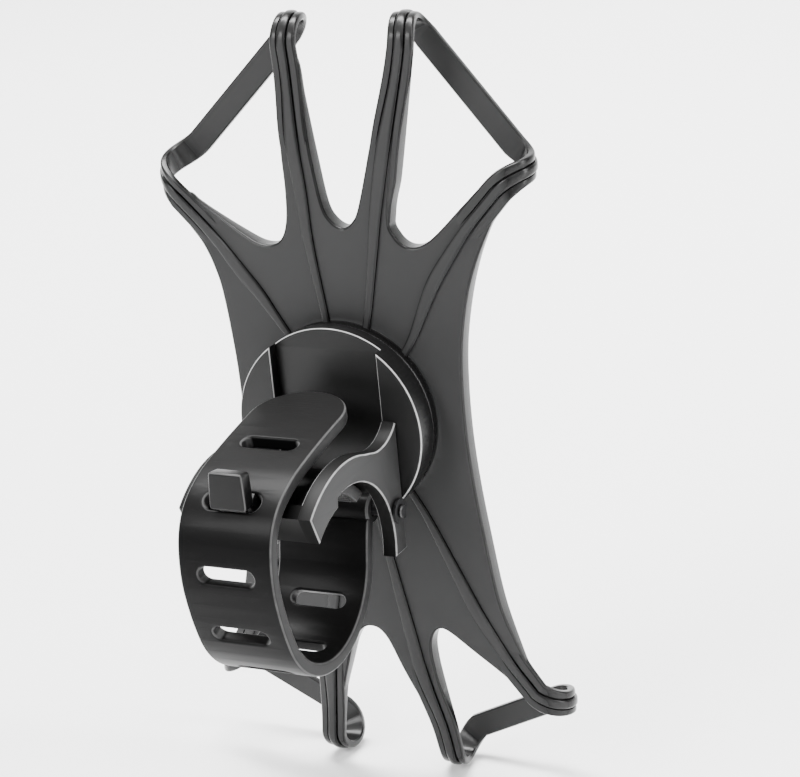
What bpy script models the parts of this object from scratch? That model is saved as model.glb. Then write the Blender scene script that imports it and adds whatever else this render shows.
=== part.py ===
"""A bicycle phone mount: a stretchy cradle that turns on a round base, strapped to a handlebar.

Lengths are in millimetres and angles in degrees. A mesh is turned into metres when it is made.
The frame: X along the handlebar, Y from the handlebar to the phone, Z up. The origin is on the
handlebar's axis, in the middle of the strap. The cradle and the base plate are drawn round the
phone's own centre, where the phone is held, and hang from an empty there.
"""

import math

import bmesh
import bpy
from mathutils import Matrix, Vector

MM = 0.001

# Driving dimensions: the phone, the handlebar, and where one is from the other
PHONE_WIDTH = 75.7
PHONE_HEIGHT = 150.9
PHONE_DEPTH = 8.3
BAR_RADIUS = 15.3
PHONE_FROM_BAR = (0.0, 39.2, 20.1)

# The silicone cradle
WEB_THICKNESS = 3.7
BAND_THICKNESS = 1.9
BAND_WIDTH = 6.0
BAND_GAP = 0.05
BOSS_RADIUS = 19.8
BOSS_FOOT_RADIUS = 21.2
BOSS_FACE = -10.0

# The swivel, as distances along Y from the phone's middle and radii round the swivel's axis
PHONE_BACK = -PHONE_DEPTH / 2
PAD_FRONT = PHONE_BACK - 0.8
FLANGE_RADIUS = 17.0
FLANGE_BACK = PHONE_BACK - 1.05
FLANGE_FRONT = -7.1
BARREL_RADIUS = 11.0
SPIGOT_RADIUS = 5.0
SPIGOT_END = -7.5
HUB_FLOOR = -8.1
SWIVEL_PILOT = -12.7
RUNNING_GAP = 0.08
RING_OUTSIDE = 16.5
RING_BACK = -8.7
CLAMP_SCREW_CIRCLE = 14.2
CLAMP_SCREWS = 3
FIT_GAP = 0.3

# The round base plate and its channel
DISC_RADIUS = 19.4
DISC_BACK = -10.4
DISC_FACE = -16.0
CHANNEL_FLOOR = -13.5
CHANNEL_HALF_WIDTH = 11.3

# The saddle that sits on the handlebar. Angles round the bar start at its top, forwards positive
SADDLE_SIDES = (-14.4, 14.4)
SADDLE_LEFT_TAPER = ((-13.0, 9.0), (-14.4, 16.5))
SADDLE_BACK = 22.9
SADDLE_TOP_CENTRE = (2.0, 0.2)
SADDLE_TOP_RADIUS = 22.4
ARCH_CENTRE = (1.6, 0.6)
ARCH_RADIUS = 17.0
FLOOR_RADIUS = 18.8
SEAT_RADIUS = BAR_RADIUS + 0.2
SEAT_FRONT_ANGLE = 41.5
SEAT_BACK_ANGLE = 8.0
END_WALL_ANGLE = 31.0
FLOOR_BACK_ANGLE = -52.0
HOOK_ANGLE = 35.7
HOOK_HALF_WIDTH = 3.8
HOOK_ACROSS = 0.8

# The strap
STRAP_HALF_WIDTH = 9.6
STRAP_THICKNESS = 2.6
SLOT_HALF_LENGTH = 5.7
SLOT_HALF_WIDTH = 1.75
SLOT_PITCH = 13.0
SLOT_STEP = 14.4
PIN_PLACE = (19.9, 5.9)
PIN_RADIUS = 1.25
EYE_RADIUS = 2.95

MATERIALS = {
    "silicone": ((0.012, 0.012, 0.013), 0.42, 0.0),
    "plastic": ((0.016, 0.016, 0.017), 0.34, 0.0),
    "rubber": ((0.03, 0.03, 0.031), 0.7, 0.0),
    "nylon": ((0.72, 0.71, 0.67), 0.45, 0.0),
    "steel": ((0.62, 0.62, 0.63), 0.28, 1.0),
}


# ---- Building blocks ----


def material(name):
    """The material of that name, made on its first use."""
    found = bpy.data.materials.get(name)
    if found:
        return found
    colour, roughness, metallic = MATERIALS[name]
    made = bpy.data.materials.new(name)
    made.use_nodes = True
    shader = made.node_tree.nodes["Principled BSDF"]
    shader.inputs["Base Color"].default_value = (*colour, 1.0)
    shader.inputs["Roughness"].default_value = roughness
    shader.inputs["Metallic"].default_value = metallic
    made.diffuse_color = (*colour, 1.0)
    return made


def add_mesh(name, points, faces, look="plastic", parent=None, smooth_angle=35):
    """An object from points in millimetres, with its faces turned outwards."""
    mesh = bpy.data.meshes.new(name)
    bm = bmesh.new()
    corners = [bm.verts.new(Vector(p) * MM) for p in points]
    for face in faces:
        bm.faces.new([corners[i] for i in face])
    bmesh.ops.recalc_face_normals(bm, faces=bm.faces)
    bm.to_mesh(mesh)
    bm.free()
    mesh.materials.append(material(look))
    mesh.shade_smooth()
    mesh.set_sharp_from_angle(angle=math.radians(smooth_angle))
    obj = bpy.data.objects.new(name, mesh)
    bpy.context.scene.collection.objects.link(obj)
    obj.parent = parent
    return obj


def prism(name, outline, low, high, along="X", **more):
    """A flat outline pushed from low to high along an axis. The outline is (y, z) along X, (x, z) along Y."""

    def place(a, b, depth):
        return (depth, a, b) if along == "X" else (a, depth, b)

    count = len(outline)
    points = [place(*p, low) for p in outline] + [place(*p, high) for p in outline]
    sides = [(i, (i + 1) % count, count + (i + 1) % count, count + i) for i in range(count)]
    return add_mesh(name, points, [tuple(range(count)), tuple(range(count, 2 * count)), *sides], **more)


def turned(name, profile, centre=(0.0, 0.0), along="Y", steps=48, **more):
    """A closed profile of (distance along the axis, radius) turned round an axis through centre.

    The centre is (x, z) for an axis along Y and (y, z) for one along X. A profile whose ends lie
    on the axis gives a solid piece, any other gives a ring.
    """
    points = []
    rings = []
    for depth, radius in profile:
        ring = []
        for step in range(1 if radius == 0 else steps):
            angle = 2 * math.pi * step / steps
            a = centre[0] + radius * math.cos(angle)
            b = centre[1] + radius * math.sin(angle)
            ring.append(len(points))
            points.append((depth, a, b) if along == "X" else (a, depth, b))
        rings.append(ring)
    faces = []
    solid = len(rings[0]) == 1
    for first, second in zip(rings, rings[1:] + ([] if solid else rings[:1])):
        for step in range(steps):
            after = (step + 1) % steps
            corners = [first[step % len(first)], first[after % len(first)]]
            corners += [second[after % len(second)], second[step % len(second)]]
            faces.append(tuple(dict.fromkeys(corners)))
    return add_mesh(name, points, faces, **more)


def boolean(obj, other, operation="DIFFERENCE"):
    """Joins other to obj or cuts it away, and removes it."""
    modifier = obj.modifiers.new("shape", "BOOLEAN")
    modifier.operation = operation
    modifier.object = other
    bpy.context.view_layer.update()
    graph = bpy.context.evaluated_depsgraph_get()
    result = bpy.data.meshes.new_from_object(obj.evaluated_get(graph))
    obj.modifiers.clear()
    obj.data = result
    bpy.data.objects.remove(other)
    obj.data.shade_smooth()
    obj.data.set_sharp_from_angle(angle=math.radians(35))
    return obj


def bevel(obj, width, angle=40, segments=2):
    """Rounds the edges of obj that are sharper than angle."""
    modifier = obj.modifiers.new("edges", "BEVEL")
    modifier.width = width * MM
    modifier.segments = segments
    modifier.limit_method = "ANGLE"
    modifier.angle_limit = math.radians(angle)
    return obj


def arc(centre, radius, start, end, steps):
    """Points on a circle. Angles start at its top, and forwards, to -Y, is positive."""
    points = []
    for step in range(steps + 1):
        angle = math.radians(start + (end - start) * step / steps)
        points.append((centre[0] - radius * math.sin(angle), centre[1] + radius * math.cos(angle)))
    return points


def through(points, steps, closed=False):
    """A smooth Catmull-Rom curve through points, with steps pieces between each pair."""
    count = len(points)
    curve = []
    for i in range(count if closed else count - 1):
        if closed:
            a, b, c, d = (points[(i + k) % count] for k in (-1, 0, 1, 2))
        else:
            a, b, c, d = (points[min(max(i + k, 0), count - 1)] for k in (-1, 0, 1, 2))
        for step in range(steps):
            t = step / steps
            curve.append(
                tuple(
                    0.5 * (2 * q + (r - p) * t + (2 * p - 5 * q + 4 * r - s) * t * t + (3 * q - p - 3 * r + s) * t**3)
                    for p, q, r, s in zip(a, b, c, d)
                )
            )
    if not closed:
        curve.append(points[-1])
    return curve


def screw(name, place, head, shank, along_from, length, steps=16, **more):
    """A pan-head screw on an axis along Y. Its head starts at along_from, and its tip points the way length goes."""
    way = math.copysign(1.0, length)
    head_radius, head_height = head
    profile = [
        (along_from, 0.0),
        (along_from, head_radius * 0.35),
        (along_from + way * head_height * 0.45, head_radius * 0.3),
        (along_from + way * head_height * 0.45, head_radius * 0.45),
        (along_from, head_radius * 0.5),
        (along_from, head_radius * 0.8),
        (along_from + way * head_height * 0.3, head_radius),
        (along_from + way * head_height, head_radius),
        (along_from + way * head_height, shank),
        (along_from + length - way * 0.6, shank),
        (along_from + length, shank * 0.4),
        (along_from + length, 0.0),
    ]
    return turned(name, profile, centre=place, steps=steps, look="steel", **more)


# ---- The cradle ----

# The flat web's outline round the phone's centre, as (across, up), each arm ending before the phone's edge
WEB_OUTLINE = [
    (-9.6, 64.0), (-9.0, 54.0), (-8.9, 44.0), (-9.8, 38.2), (-11.8, 35.0), (-14.6, 34.0),
    (-20.5, 36.4), (-26.2, 40.0), (-30.5, 43.9),
    (-30.6, 35.4), (-27.9, 30.4), (-25.9, 25.0), (-24.5, 16.0), (-23.8, 6.0), (-23.9, -4.0),
    (-24.8, -16.0), (-26.4, -30.0), (-28.2, -39.0), (-31.0, -46.6),
    (-30.5, -56.4), (-23.0, -49.8), (-17.2, -45.0), (-14.6, -44.0), (-12.4, -46.4), (-12.4, -52.0), (-13.8, -63.0),
    (-8.0, -63.0), (-6.2, -55.0), (-4.2, -49.0), (-2.0, -46.0), (0.2, -45.2), (2.4, -46.2), (4.5, -50.0),
    (8.4, -63.0), (15.6, -63.0), (13.6, -52.0), (13.2, -47.0), (14.9, -44.2), (17.6, -44.8),
    (23.0, -49.8), (30.5, -56.8), (31.2, -46.8),
    (28.6, -36.0), (26.9, -24.0), (25.6, -13.0), (24.9, -3.0), (24.9, 7.0), (25.4, 16.0),
    (27.0, 24.6), (29.3, 32.0), (31.2, 37.2), (30.6, 45.6),
    (22.4, 37.5), (19.2, 35.0), (16.4, 34.4), (13.6, 36.4), (12.6, 40.6), (15.6, 55.5), (17.8, 64.0),
    (12.4, 64.0), (10.8, 57.4), (8.6, 48.9), (6.2, 41.3), (4.8, 38.8), (2.8, 37.5), (0.4, 38.8),
    (-1.2, 42.0), (-2.5, 51.0), (-3.9, 64.0),
]

# Each corner loop: where its two arms leave the web, where they cross the phone's edges at the back and at the
# front, how far they drift along the edge for each millimetre across it there, and the arms' widths
LOOPS = {
    "top_left": {
        "end_root": (-4.9, 44.0), "end_back": -7.4, "end_front": -12.0, "end_drift": (-0.05, -1.15),
        "side_root": (-22.0, 33.5), "side_back": 41.4, "side_front": 50.5, "side_drift": (1.4, 0.7),
        "side": -1, "end": 1,
    },
    "top_right": {
        "end_root": (9.6, 44.0), "end_back": 16.9, "end_front": 17.6, "end_drift": (0.2, 0.95),
        "side_root": (23.5, 33.5), "side_back": 44.8, "side_front": 51.0, "side_drift": (1.5, 0.7),
        "side": 1, "end": 1,
    },
    "bottom_left": {
        "end_root": (-8.4, -50.0), "end_back": -12.6, "end_front": -15.0, "end_drift": (-0.2, -1.1),
        "side_root": (-23.0, -43.0), "side_back": -57.6, "side_front": -62.0, "side_drift": (0.4, 0.9),
        "side": -1, "end": -1,
    },
    "bottom_right": {
        "end_root": (8.9, -50.0), "end_back": 13.9, "end_front": 16.0, "end_drift": (0.2, 1.1),
        "side_root": (23.0, -43.5), "side_back": -58.0, "side_front": -62.8, "side_drift": (0.55, 0.9),
        "side": 1, "end": -1,
    },
}


def hermite(start, end, start_slope, end_slope, length, t):
    """A value that runs from start to end over length, with a slope at each end."""
    return (
        start * (1 + 2 * t) * (1 - t) ** 2
        + start_slope * length * t * (1 - t) ** 2
        + end * t * t * (3 - 2 * t)
        + end_slope * length * t * t * (t - 1)
    )


def loop_path(loop, steps=8):
    """A loop's line on the phone's surface, as (point, outward direction) pairs from the end arm to the side arm."""
    radius = PHONE_DEPTH / 2 + BAND_GAP
    half_turn = math.pi * radius
    end_line = loop["end"] * (PHONE_HEIGHT / 2 - PHONE_DEPTH / 2)
    side_line = loop["side"] * (PHONE_WIDTH / 2 - PHONE_DEPTH / 2)
    path = []

    def flat(start, finish, y, count, bend=0.0):
        across = Vector((finish[1] - start[1], start[0] - finish[0])) * bend
        for step in range(count):
            t = step / count
            bow = 4 * t * (1 - t)
            x = start[0] + (finish[0] - start[0]) * t + across[0] * bow
            z = start[1] + (finish[1] - start[1]) * t + across[1] * bow
            path.append((Vector((x, y, z)), Vector((0, math.copysign(1, y), 0))))

    def wrap(back, front, drift, fixed, sign, vertical, backwards):
        for step in range(steps):
            t = step / steps
            t = 1 - t if backwards else t
            along = hermite(back, front, drift[0], drift[1], half_turn, t)
            turn = math.pi * t
            out = Vector((0, -math.cos(turn), sign * math.sin(turn)))
            centre = Vector((along, 0, fixed))
            if not vertical:
                out = Vector((sign * math.sin(turn), -math.cos(turn), 0))
                centre = Vector((fixed, 0, along))
            path.append((centre + out * radius, out))

    flat(loop["end_root"], (loop["end_back"], end_line), -radius, 5)
    wrap(loop["end_back"], loop["end_front"], loop["end_drift"], end_line, loop["end"], True, False)
    flat((loop["end_front"], end_line), (side_line, loop["side_front"]), radius, 8)
    side_drift = [d * loop["end"] for d in loop["side_drift"]]
    wrap(loop["side_back"], loop["side_front"], side_drift, side_line, loop["side"], False, True)
    flat((side_line, loop["side_back"]), loop["side_root"], -radius, 5)
    path.append((Vector((loop["side_root"][0], -radius, loop["side_root"][1])), Vector((0, -1, 0))))
    return path


def loop_band(name, loop):
    """One corner loop as a swept band, thicker where its arms leave the web."""
    path = loop_path(loop)
    points = []
    corner = 0.7
    for i, (place, out) in enumerate(path):
        ahead = path[min(i + 1, len(path) - 1)][0]
        behind = path[max(i - 1, 0)][0]
        across = (ahead - behind).normalized().cross(out).normalized()
        thick = BAND_THICKNESS
        if out.y < -0.99:
            thick += (WEB_THICKNESS - 0.15 - BAND_THICKNESS) * min(1.0, max(0.0, edge_distance(place) / 14))
        half = BAND_WIDTH / 2
        section = [
            (-half, corner), (-half + corner, 0), (half - corner, 0), (half, corner),
            (half, thick - corner), (half - corner, thick), (-half + corner, thick), (-half, thick - corner),
        ]
        points += [place + across * a + out * b for a, b in section]
    sides = 8
    faces = [tuple(range(sides)), tuple(range(len(points) - sides, len(points)))]
    for ring in range(len(path) - 1):
        for side in range(sides):
            after = (side + 1) % sides
            faces.append(
                (ring * sides + side, ring * sides + after, (ring + 1) * sides + after, (ring + 1) * sides + side)
            )
    return add_mesh(name, points, faces, look="silicone")


def edge_distance(place):
    """How far a point on the phone's back is from the nearest of its rounded edges."""
    return min(
        PHONE_HEIGHT / 2 - PHONE_DEPTH / 2 - abs(place.z), PHONE_WIDTH / 2 - PHONE_DEPTH / 2 - abs(place.x)
    )


def cradle_web(pivot):
    """The one-piece silicone web: a flat body, a round boss for the swivel, and four corner loops."""
    front = PHONE_BACK - WEB_THICKNESS
    web = prism("cradle_web", through(WEB_OUTLINE, 3, closed=True), front, PHONE_BACK, along="Y", look="silicone")
    boss = turned(
        "boss",
        [(PHONE_BACK - 1.0, 0), (PHONE_BACK - 1.0, BOSS_FOOT_RADIUS - 2), (front - 0.2, BOSS_FOOT_RADIUS)]
        + [(BOSS_FACE + 0.7, BOSS_RADIUS), (BOSS_FACE, BOSS_RADIUS - 0.7), (BOSS_FACE, 0)],
    )
    boolean(web, boss, "UNION")
    for name, loop in LOOPS.items():
        boolean(web, loop_band("band_" + name, loop), "UNION")
    seats = [
        (PHONE_BACK + 2, 0), (PHONE_BACK + 2, FLANGE_RADIUS + FIT_GAP),
        (FLANGE_FRONT - FIT_GAP, FLANGE_RADIUS + FIT_GAP), (FLANGE_FRONT - FIT_GAP, BARREL_RADIUS + FIT_GAP),
        (RING_BACK + FIT_GAP, BARREL_RADIUS + FIT_GAP), (RING_BACK + FIT_GAP, RING_OUTSIDE + FIT_GAP),
        (BOSS_FACE - 2, RING_OUTSIDE + FIT_GAP), (BOSS_FACE - 2, 0),
    ]
    cutter = turned("cut", seats, steps=54)
    for place in clamp_screw_places():
        hole = [(FLANGE_FRONT + 1.3, 0), (FLANGE_FRONT + 1.3, 0.95), (RING_BACK - 0.7, 0.95), (RING_BACK - 0.7, 0)]
        boolean(cutter, turned("hole", hole, centre=place, steps=12), "UNION")
    boolean(web, cutter)
    web.parent = pivot
    return web


def clamp_screw_places():
    """Where the clamp screws stand round the swivel's axis, as (across, up)."""
    for i in range(CLAMP_SCREWS):
        angle = math.radians(90 + 360 * i / CLAMP_SCREWS)
        yield CLAMP_SCREW_CIRCLE * math.cos(angle), CLAMP_SCREW_CIRCLE * math.sin(angle)


def cradle_hub(pivot):
    """The rigid hub: a flange on the phone's side of the web, and a barrel that turns on the base plate's spigot."""
    bore = SPIGOT_RADIUS + RUNNING_GAP
    profile = [
        (FLANGE_BACK - 0.4, FLANGE_RADIUS - 0.4), (FLANGE_BACK - 0.4, 8.4), (HUB_FLOOR, 8.2), (HUB_FLOOR, bore),
        (BOSS_FACE, bore), (BOSS_FACE, BARREL_RADIUS), (FLANGE_FRONT, BARREL_RADIUS),
        (FLANGE_FRONT, FLANGE_RADIUS), (FLANGE_BACK, FLANGE_RADIUS), (FLANGE_BACK, FLANGE_RADIUS - 0.4),
    ]
    hub = turned("cradle_hub", profile)
    for place in clamp_screw_places():
        hole = [(FLANGE_BACK - 1.0, 0), (FLANGE_BACK - 1.0, 0.9), (FLANGE_FRONT - 1, 0.9), (FLANGE_FRONT - 1, 0)]
        boolean(hub, turned("cut", hole, centre=place, steps=12))
    hub.parent = pivot
    return hub


def clamp_ring(pivot):
    """The ring that clamps the web to the hub's flange, with a counterbore for each clamp screw."""
    inside = BARREL_RADIUS + FIT_GAP
    profile = [(RING_BACK, inside), (BOSS_FACE, inside), (BOSS_FACE, RING_OUTSIDE), (RING_BACK, RING_OUTSIDE)]
    ring = turned("clamp_ring", profile)
    for place in clamp_screw_places():
        hole = [(RING_BACK + 1, 0), (RING_BACK + 1, 0.9), (RING_BACK - 0.35, 0.9), (RING_BACK - 0.35, 1.75)]
        hole += [(BOSS_FACE - 1, 1.75), (BOSS_FACE - 1, 0)]
        boolean(ring, turned("cut", hole, centre=place, steps=16))
    ring.parent = pivot
    return ring


def phone_pad(pivot):
    """The flat pad that the phone's back rests on. It hides the hub's screws."""
    profile = [(PHONE_BACK, 0), (PHONE_BACK, FLANGE_RADIUS - 0.3), (PHONE_BACK - 0.3, FLANGE_RADIUS)]
    profile += [(PAD_FRONT, FLANGE_RADIUS), (PAD_FRONT, 0)]
    return turned("phone_pad", profile, look="rubber", parent=pivot)


def wave_spring(pivot):
    """A thin wavy washer that keeps the swivel tight."""
    steps, waves, height, middle, half = 48, 3, 0.07, -7.8, 0.12
    points = []
    for step in range(steps):
        angle = 2 * math.pi * step / steps
        y = middle + height * math.sin(waves * angle)
        for depth, radius in ((half, 5.35), (half, 7.4), (-half, 7.4), (-half, 5.35)):
            points.append((radius * math.cos(angle), y + depth, radius * math.sin(angle)))
    faces = []
    for step in range(steps):
        here, after = 4 * step, 4 * ((step + 1) % steps)
        faces += [(here + k, after + k, after + (k + 1) % 4, here + (k + 1) % 4) for k in range(4)]
    return add_mesh("wave_spring", points, faces, look="steel", parent=pivot)


def swivel_fixings(pivot):
    """The screw and washer on the end of the base plate's spigot, that hold the hub on it."""
    back, front, outside, inside = SPIGOT_END + 0.7, SPIGOT_END + 0.1, 7.5, 1.55
    profile = [(front, inside), (back, inside), (back, outside - 0.2), (back - 0.2, outside), (front, outside)]
    turned("retaining_washer", profile, look="steel", parent=pivot)
    head, shank, length = (3.0, 1.3), 1.15, -7.1
    screw("swivel_screw", (0, 0), head, shank, back + 0.05 + head[1], length, steps=24, parent=pivot)


def clamp_screws(pivot):
    """The screws that draw the clamp ring to the hub's flange."""
    for i, place in enumerate(clamp_screw_places(), 1):
        screw(f"clamp_screw_{i}", place, (1.5, 0.8), 0.7, BOSS_FACE + 0.05, 3.6, parent=pivot)


# ---- The base ----


def base_screw_places():
    """Where the base screws stand round the swivel's axis, as (across, up)."""
    return [((side + math.copysign(CHANNEL_HALF_WIDTH, side)) / 2, up) for side in SADDLE_SIDES for up in (-1.5, -8.5)]


def base_disc(pivot):
    """The round base plate: two raised half-moons with a channel between them, and a spigot for the hub."""
    edge = 0.5
    pilot = 1.3
    profile = [
        (SWIVEL_PILOT, 0), (SWIVEL_PILOT, pilot), (SPIGOT_END, pilot), (SPIGOT_END, SPIGOT_RADIUS - 0.3),
        (SPIGOT_END - 0.3, SPIGOT_RADIUS), (-11.2, SPIGOT_RADIUS), (-11.2, 10.2), (DISC_BACK, 10.2),
        (DISC_BACK, DISC_RADIUS - edge), (DISC_BACK - edge, DISC_RADIUS),
        (DISC_FACE + edge, DISC_RADIUS), (DISC_FACE + edge * 0.3, DISC_RADIUS - edge * 0.3),
        (DISC_FACE, DISC_RADIUS - edge), (DISC_FACE, 0),
    ]
    disc = turned("base_disc", profile, steps=72)
    half = CHANNEL_HALF_WIDTH
    step = 0.35
    channel = [
        (-half, CHANNEL_FLOOR), (half, CHANNEL_FLOOR), (half, DISC_FACE + step), (half + step, DISC_FACE),
        (half + step, DISC_FACE - 2), (-half - step, DISC_FACE - 2), (-half - step, DISC_FACE),
        (-half, DISC_FACE + step),
    ]
    count = len(channel)
    points = [(x, y, z) for z in (-25, 25) for x, y in channel]
    faces = [tuple(range(count)), tuple(range(count, 2 * count))]
    faces += [(i, (i + 1) % count, count + (i + 1) % count, count + i) for i in range(count)]
    boolean(disc, add_mesh("cut", points, faces))
    for place in base_screw_places():
        hole = [(DISC_BACK + 1, 0), (DISC_BACK + 1, 2.1), (DISC_BACK - 1.5, 2.1), (DISC_BACK - 1.5, 1.1)]
        hole += [(DISC_FACE - 1, 1.1), (DISC_FACE - 1, 0)]
        boolean(disc, turned("cut", hole, centre=place, steps=16))
    disc.parent = pivot
    return disc


def thrust_washer(pivot):
    """The slippery ring between the hub and the base plate."""
    back, front, inside, outside = -10.1, -11.1, SPIGOT_RADIUS + FIT_GAP, 9.9
    profile = [(back, inside), (front, inside), (front, outside), (back, outside)]
    return turned("thrust_washer", profile, look="nylon", parent=pivot)


def base_screws(pivot):
    """The four screws from behind the base plate into the saddle's side walls."""
    for i, place in enumerate(base_screw_places(), 1):
        screw(f"base_screw_{i}", place, (1.85, 1.2), 0.95, DISC_BACK - 0.15, -11.5, parent=pivot)


def flank_outline():
    """The saddle's side view: up the base plate, over the bar to the front lip, and back under the arch."""
    fillet = through([(SADDLE_BACK, 22.7), (21.2, 21.3), (18.4, 20.15), (14.8, 19.9), (11.6, 20.75)], 3)
    top = arc(SADDLE_TOP_CENTRE, SADDLE_TOP_RADIUS, -21.0, 41.0, 14)
    seat = arc((0, 0), SEAT_RADIUS, SEAT_FRONT_ANGLE, SEAT_BACK_ANGLE, 8)
    arch = arc(ARCH_CENTRE, ARCH_RADIUS, 12.0, -102.0, 20)
    return fillet + top + seat + arch + [(SADDLE_BACK, arch[-1][1])]


def saddle():
    """The saddle: two side walls, a curved floor, an end wall over the bar and the strap's hook."""
    body = prism("saddle", flank_outline(), *SADDLE_SIDES)
    floor = arc(ARCH_CENTRE, FLOOR_RADIUS, END_WALL_ANGLE, FLOOR_BACK_ANGLE, 16)
    under = arc(ARCH_CENTRE, ARCH_RADIUS - 3, FLOOR_BACK_ANGLE, -110, 4)
    well = floor + under + [(30, -12), (30, 40), (-18, 40)]
    boolean(body, prism("cut", well, -CHANNEL_HALF_WIDTH, CHANNEL_HALF_WIDTH))
    (near, near_y), (far, far_y) = SADDLE_LEFT_TAPER
    taper = [(far - 3, -25), (near, -25), (near, near_y), (far, far_y), (far - 3, far_y + 3)]
    count = len(taper)
    points = [(x, y, z) for z in (-5, 30) for x, y in taper]
    faces = [tuple(range(count)), tuple(range(count, 2 * count))]
    faces += [(i, (i + 1) % count, count + (i + 1) % count, count + i) for i in range(count)]
    boolean(body, add_mesh("cut", points, faces))
    boolean(body, hook(), "UNION")
    for across, up in base_screw_places():
        hole = [(SADDLE_BACK + 2, 0), (SADDLE_BACK + 2, 1.15), (SADDLE_BACK - 7.2, 1.15), (SADDLE_BACK - 7.2, 0)]
        boolean(body, turned("cut", hole, centre=(across, up + PHONE_FROM_BAR[2]), steps=12))
    pin_hole = [(-20, 0), (-20, PIN_RADIUS + 0.15), (20, PIN_RADIUS + 0.15), (20, 0)]
    boolean(body, turned("cut", pin_hole, centre=PIN_PLACE, along="X", steps=20))
    return body


def hook():
    """The hook: a neck through the strap's slot and an upright head, narrower at its top."""
    angle = math.radians(HOOK_ANGLE)
    out = Vector((-math.sin(angle), math.cos(angle)))
    down = Vector((-math.cos(angle), -math.sin(angle)))
    half = 1.55
    outline = [
        out * 18.2 + down * half, out * 25.6 + down * half, Vector((-18.1, 19.9)), Vector((-17.8, 26.4)),
        Vector((-14.9, 26.9)), Vector((-14.9, 23.2)), out * 25.9 - down * half, out * 18.2 - down * half,
    ]
    block = prism("hook", [tuple(p) for p in outline], -HOOK_HALF_WIDTH, HOOK_HALF_WIDTH)
    top, low = 26.9 * MM, 20.0 * MM
    for vertex in block.data.vertices:
        vertex.co.x *= 1 - 0.12 * max(0.0, (vertex.co.z - low) / (top - low))
        vertex.co.x += HOOK_ACROSS * MM
    return bevel(block, 0.35, angle=50, segments=2)


def bar_liner():
    """The rubber liner between the saddle's arch and the handlebar."""
    inner = arc((0, 0), BAR_RADIUS + 0.1, 5.5, -48, 12)
    outer = arc(ARCH_CENTRE, ARCH_RADIUS - FIT_GAP, -50, 6.5, 12)
    return prism("bar_liner", inner + outer, -10.6, 10.6, look="rubber")


def strap_line():
    """The strap's outer side as (y, z), from under the eye, round the bar and over the hook to its free end."""
    wrapped = BAR_RADIUS + 0.2 + STRAP_THICKNESS
    around = arc((0, 0), wrapped, 262, 112, 26)
    free = [
        around[-1], (-18.6, -1.6), (-20.1, 5.4), (-19.9, 12.2), (-18.2, 17.1), (-14.9, 20.6), (-9.6, 23.3),
        (-3.9, 24.9), (4.3, 26.6), (12.4, 27.9), (20.2, 28.9),
    ]
    behind = (19.6, 4.0)
    lead = through([behind, (18.7, 1.2), around[0], around[2]], 2)[:4]
    return lead + around[:-1] + through([around[-2], *free], 3)[3:]


def strap():
    """The silicone strap: an eye on the pin, a band with slots, and a rounded tail."""
    line = [Vector(p) for p in strap_line()]
    lengths = [0.0]
    for a, b in zip(line, line[1:]):
        lengths.append(lengths[-1] + (b - a).length)
    total = lengths[-1]
    line, lengths = with_tail_points(line, lengths, total)
    points = []
    normals = []
    for i, place in enumerate(line):
        ahead = line[min(i + 1, len(line) - 1)] - line[max(i - 1, 0)]
        normals.append(Vector((ahead.y, -ahead.x)).normalized() * -1)
        left = max(total - lengths[i], 0.0)
        half = STRAP_HALF_WIDTH
        if left < half:
            half = math.sqrt(max(half**2 - (half - left) ** 2, 0.0)) + 0.25
        inside = place + normals[i] * -STRAP_THICKNESS
        for x, p in ((-half, place), (half, place), (half, inside), (-half, inside)):
            points.append((x, p.x, p.y))
    faces = [(0, 1, 2, 3), tuple(range(len(points) - 4, len(points)))]
    for ring in range(len(line) - 1):
        faces += [(4 * ring + k, 4 * ring + (k + 1) % 4, 4 * ring + 4 + (k + 1) % 4, 4 * ring + 4 + k) for k in range(4)]
    band = add_mesh("strap", points, faces, look="silicone")
    half = STRAP_HALF_WIDTH
    eye = [(-half, 0), (-half, EYE_RADIUS), (half, EYE_RADIUS), (half, 0)]
    boolean(band, turned("eye", eye, centre=PIN_PLACE, along="X", steps=24), "UNION")
    bore = [(-half - 2, 0), (-half - 2, PIN_RADIUS + 0.15), (half + 2, PIN_RADIUS + 0.15), (half + 2, 0)]
    boolean(band, turned("cut", bore, centre=PIN_PLACE, along="X", steps=20))
    hooked = nearest_length(line, lengths, HOOK_ANGLE)
    places = [hooked + 16.2, hooked] + [hooked - SLOT_STEP - SLOT_PITCH * i for i in range(5)]
    for i, at in enumerate(places):
        wide = SLOT_HALF_WIDTH + (0.4 if i == 1 else 0.0)
        boolean(band, slot_cutter(line, lengths, normals, at, wide))
    return band


def with_tail_points(line, lengths, total):
    """The line with closer points over its rounded end."""
    start = total - STRAP_HALF_WIDTH
    kept = [(p, s) for p, s in zip(line, lengths) if s < start]
    for step in range(9):
        at = start + STRAP_HALF_WIDTH * math.sin(math.radians(90 * step / 8))
        kept.append((point_at(line, lengths, at), at))
    return [p for p, s in kept], [s for p, s in kept]


def point_at(line, lengths, at):
    """The point at a length along the line."""
    for i in range(len(line) - 1):
        if lengths[i + 1] >= at - 1e-9:
            t = (at - lengths[i]) / (lengths[i + 1] - lengths[i])
            return line[i].lerp(line[i + 1], t)
    return line[-1].copy()


def nearest_length(line, lengths, angle):
    """The length along the strap where it passes an angle over the bar."""
    way = Vector((-math.sin(math.radians(angle)), math.cos(math.radians(angle))))
    upper = [(abs(p.normalized().cross(way)), s) for p, s in zip(line, lengths) if p.dot(way) > 0]
    return min(upper)[1]


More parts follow.
